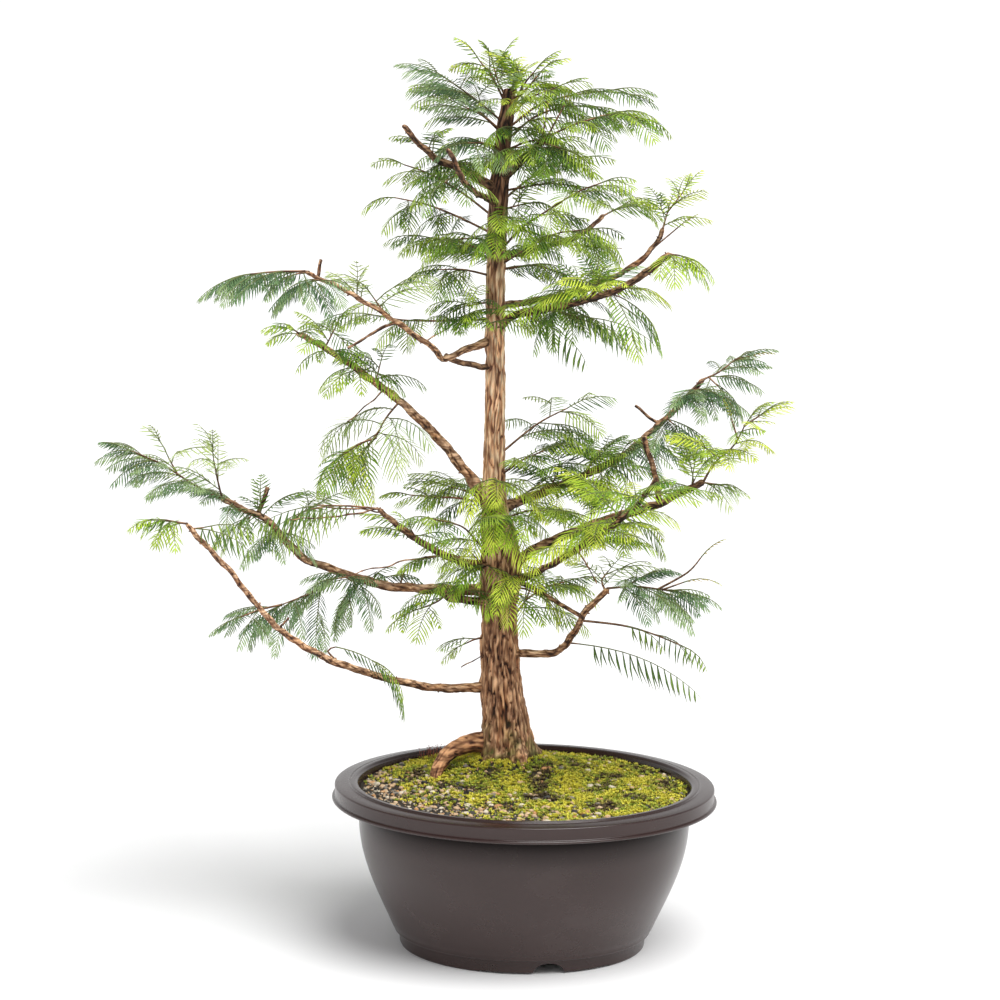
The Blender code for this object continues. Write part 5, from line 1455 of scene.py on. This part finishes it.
def add_camera():
    """The camera at the photo's place, with its pitch and its slight roll."""
    forward = Vector((0, math.cos(CAMERA_PITCH), -math.sin(CAMERA_PITCH)))
    right = Vector((1, 0, 0))
    up = right.cross(forward)
    c, s = math.cos(CAMERA_ROLL), math.sin(CAMERA_ROLL)
    turned, raised = right * c + up * s, up * c - right * s
    camera = bpy.data.cameras.new("camera")
    camera.sensor_width = SENSOR_WIDTH
    camera.lens = SENSOR_WIDTH * CAMERA_FOCAL
    camera.clip_end = 2 * FLOOR_RADIUS
    holder = bpy.data.objects.new("camera", camera)
    holder.matrix_world = Matrix.Translation(CAMERA_PLACE) @ Matrix((turned, raised, -forward)).transposed().to_4x4()
    bpy.context.scene.collection.objects.link(holder)
    bpy.context.scene.camera = holder


def build_plant():
    """Grows the trunk, the boughs and the masses, and replaces their nodes."""
    twigs, stalks = Pile(), Pile()
    needles = {tint: Needles() for tint in FOLIAGE}
    bough_bark = bark_material("bough_bark", LOW_BOUGH, (0.66, 0.36, 0.2), 800, LEVEL_GRAIN)
    # The bough bark again with painted shade, for the boughs in the foliage's shade and for the twigs.
    shaded_bark = bark_material("shaded_bark", BOUGH_TONES_IN_PAINTED_SHADE, (0.66, 0.32, 0.18), 800, LEVEL_GRAIN)
    lines, feet = {}, []
    for bough in BOUGHS:
        pile, line, radii = grow_bough(bough)
        lines[bough.name] = (line, radii)
        feet.append((line[0], radii[0]))
        bark = shaded_bark if bough.name.startswith(BOUGHS_IN_PAINTED_SHADE) else bough_bark
        add_piece(bough.name + "_bark", pile.mesh(bough.name), [bark], [bough.name], smooth=True)
    sprigs = [Mass(f"{host} {row[0]}", host, *row) for host, rows in SPRIGS.items() for row in rows]
    for plan in [*MASSES, *sprigs]:
        grow_mass(plan, lines, twigs, stalks, needles)
        if plan.host == "trunk":
            feet.append((lines[plan.name][0][1], 1.4 * MM))
    for host, rows in BARE.items():
        for at, run, thickness in rows:
            grow_bare(host, at, run, thickness, lines, twigs)
    trunk_bark = bark_material("trunk_bark", TRUNK_FOOT, (0.66, 0.34, 0.19), 700, UPRIGHT_GRAIN,
                               ((PALE_RISE, TRUNK_MIDDLE), (DARK_RISE, CROWN)), True)
    add_piece("trunk_bark", grow_trunk(feet).mesh("trunk"), [trunk_bark], ["trunk"], smooth=True)
    root_bark = bark_material("root_bark", ROOT_TONES, (0.75, 0.28, 0.10), 600, LEVEL_GRAIN)
    add_piece("surface_root_bark", grow_root().mesh("root"), [root_bark], ["surface_root"], smooth=True)
    # The twigs wear the bark with painted shade.
    add_piece("twigs", twigs.mesh("twigs"), [shaded_bark], smooth=True)
    stalk_green = plain_material("stalk_green", (0.17, 0.20, 0.06), 0.6, 200, 1500)
    add_piece("stalks", stalks.mesh("stalks"), [stalk_green], smooth=True)
    for tint, kind in FOLIAGE.items():
        shades = [needle_material(f"{tint}_{k}", colour) for k, colour in enumerate(kind.shades)]
        nodes = [plan.name for plan in MASSES if plan.tint == tint]
        add_piece(f"foliage_{tint}", needles[tint].pile().mesh(tint), shades, nodes)


def build_soil():
    rng = random.Random(41)
    add_piece("soil_ground", build_ground().mesh("ground"), [soil_material()], ["soil"], smooth=True)
    moss = [plain_material("moss_bright", (0.84, 0.76, 0.09), 0.8, 500, 2500),
            plain_material("moss_green", (0.42, 0.50, 0.06), 0.8, 500, 2500),
            plain_material("moss_olive", (0.52, 0.44, 0.09), 0.85, 500, 2500),
            plain_material("moss_brown", (0.14, 0.10, 0.05), 0.85, 500, 2500)]
    add_piece("moss", grow_moss(rng).mesh("moss"), moss)
    stones = [plain_material("stone_tan", (0.66, 0.45, 0.26), 0.8, 900, 2500),
              plain_material("stone_white", (0.78, 0.68, 0.52), 0.75, 900, 2500),
              plain_material("stone_grey", (0.26, 0.23, 0.19), 0.8, 900, 2500),
              plain_material("stone_dark", (0.06, 0.055, 0.05), 0.8, 900, 2500),
              plain_material("stone_buff", (0.70, 0.50, 0.31), 0.8, 900, 2500),
              plain_material("stone_orange", (0.60, 0.31, 0.13), 0.8, 900, 2500)]
    add_piece("gravel", lay_stones(rng).mesh("gravel"), stones)
    red = plain_material("stalk_red", (0.30, 0.08, 0.05), 0.6, 500, 2500)
    add_piece("moss_stalks", grow_stalks(rng).mesh("stalks"), [red])


build_plant()
build_soil()
pot_mesh = build_pot()
pot_piece = add_piece("pot_shell", pot_mesh, [pot_material()], ["pot"], smooth=True)
pot_mesh.set_sharp_from_angle(angle=math.radians(38))
add_floor()
light_scene()
add_camera()
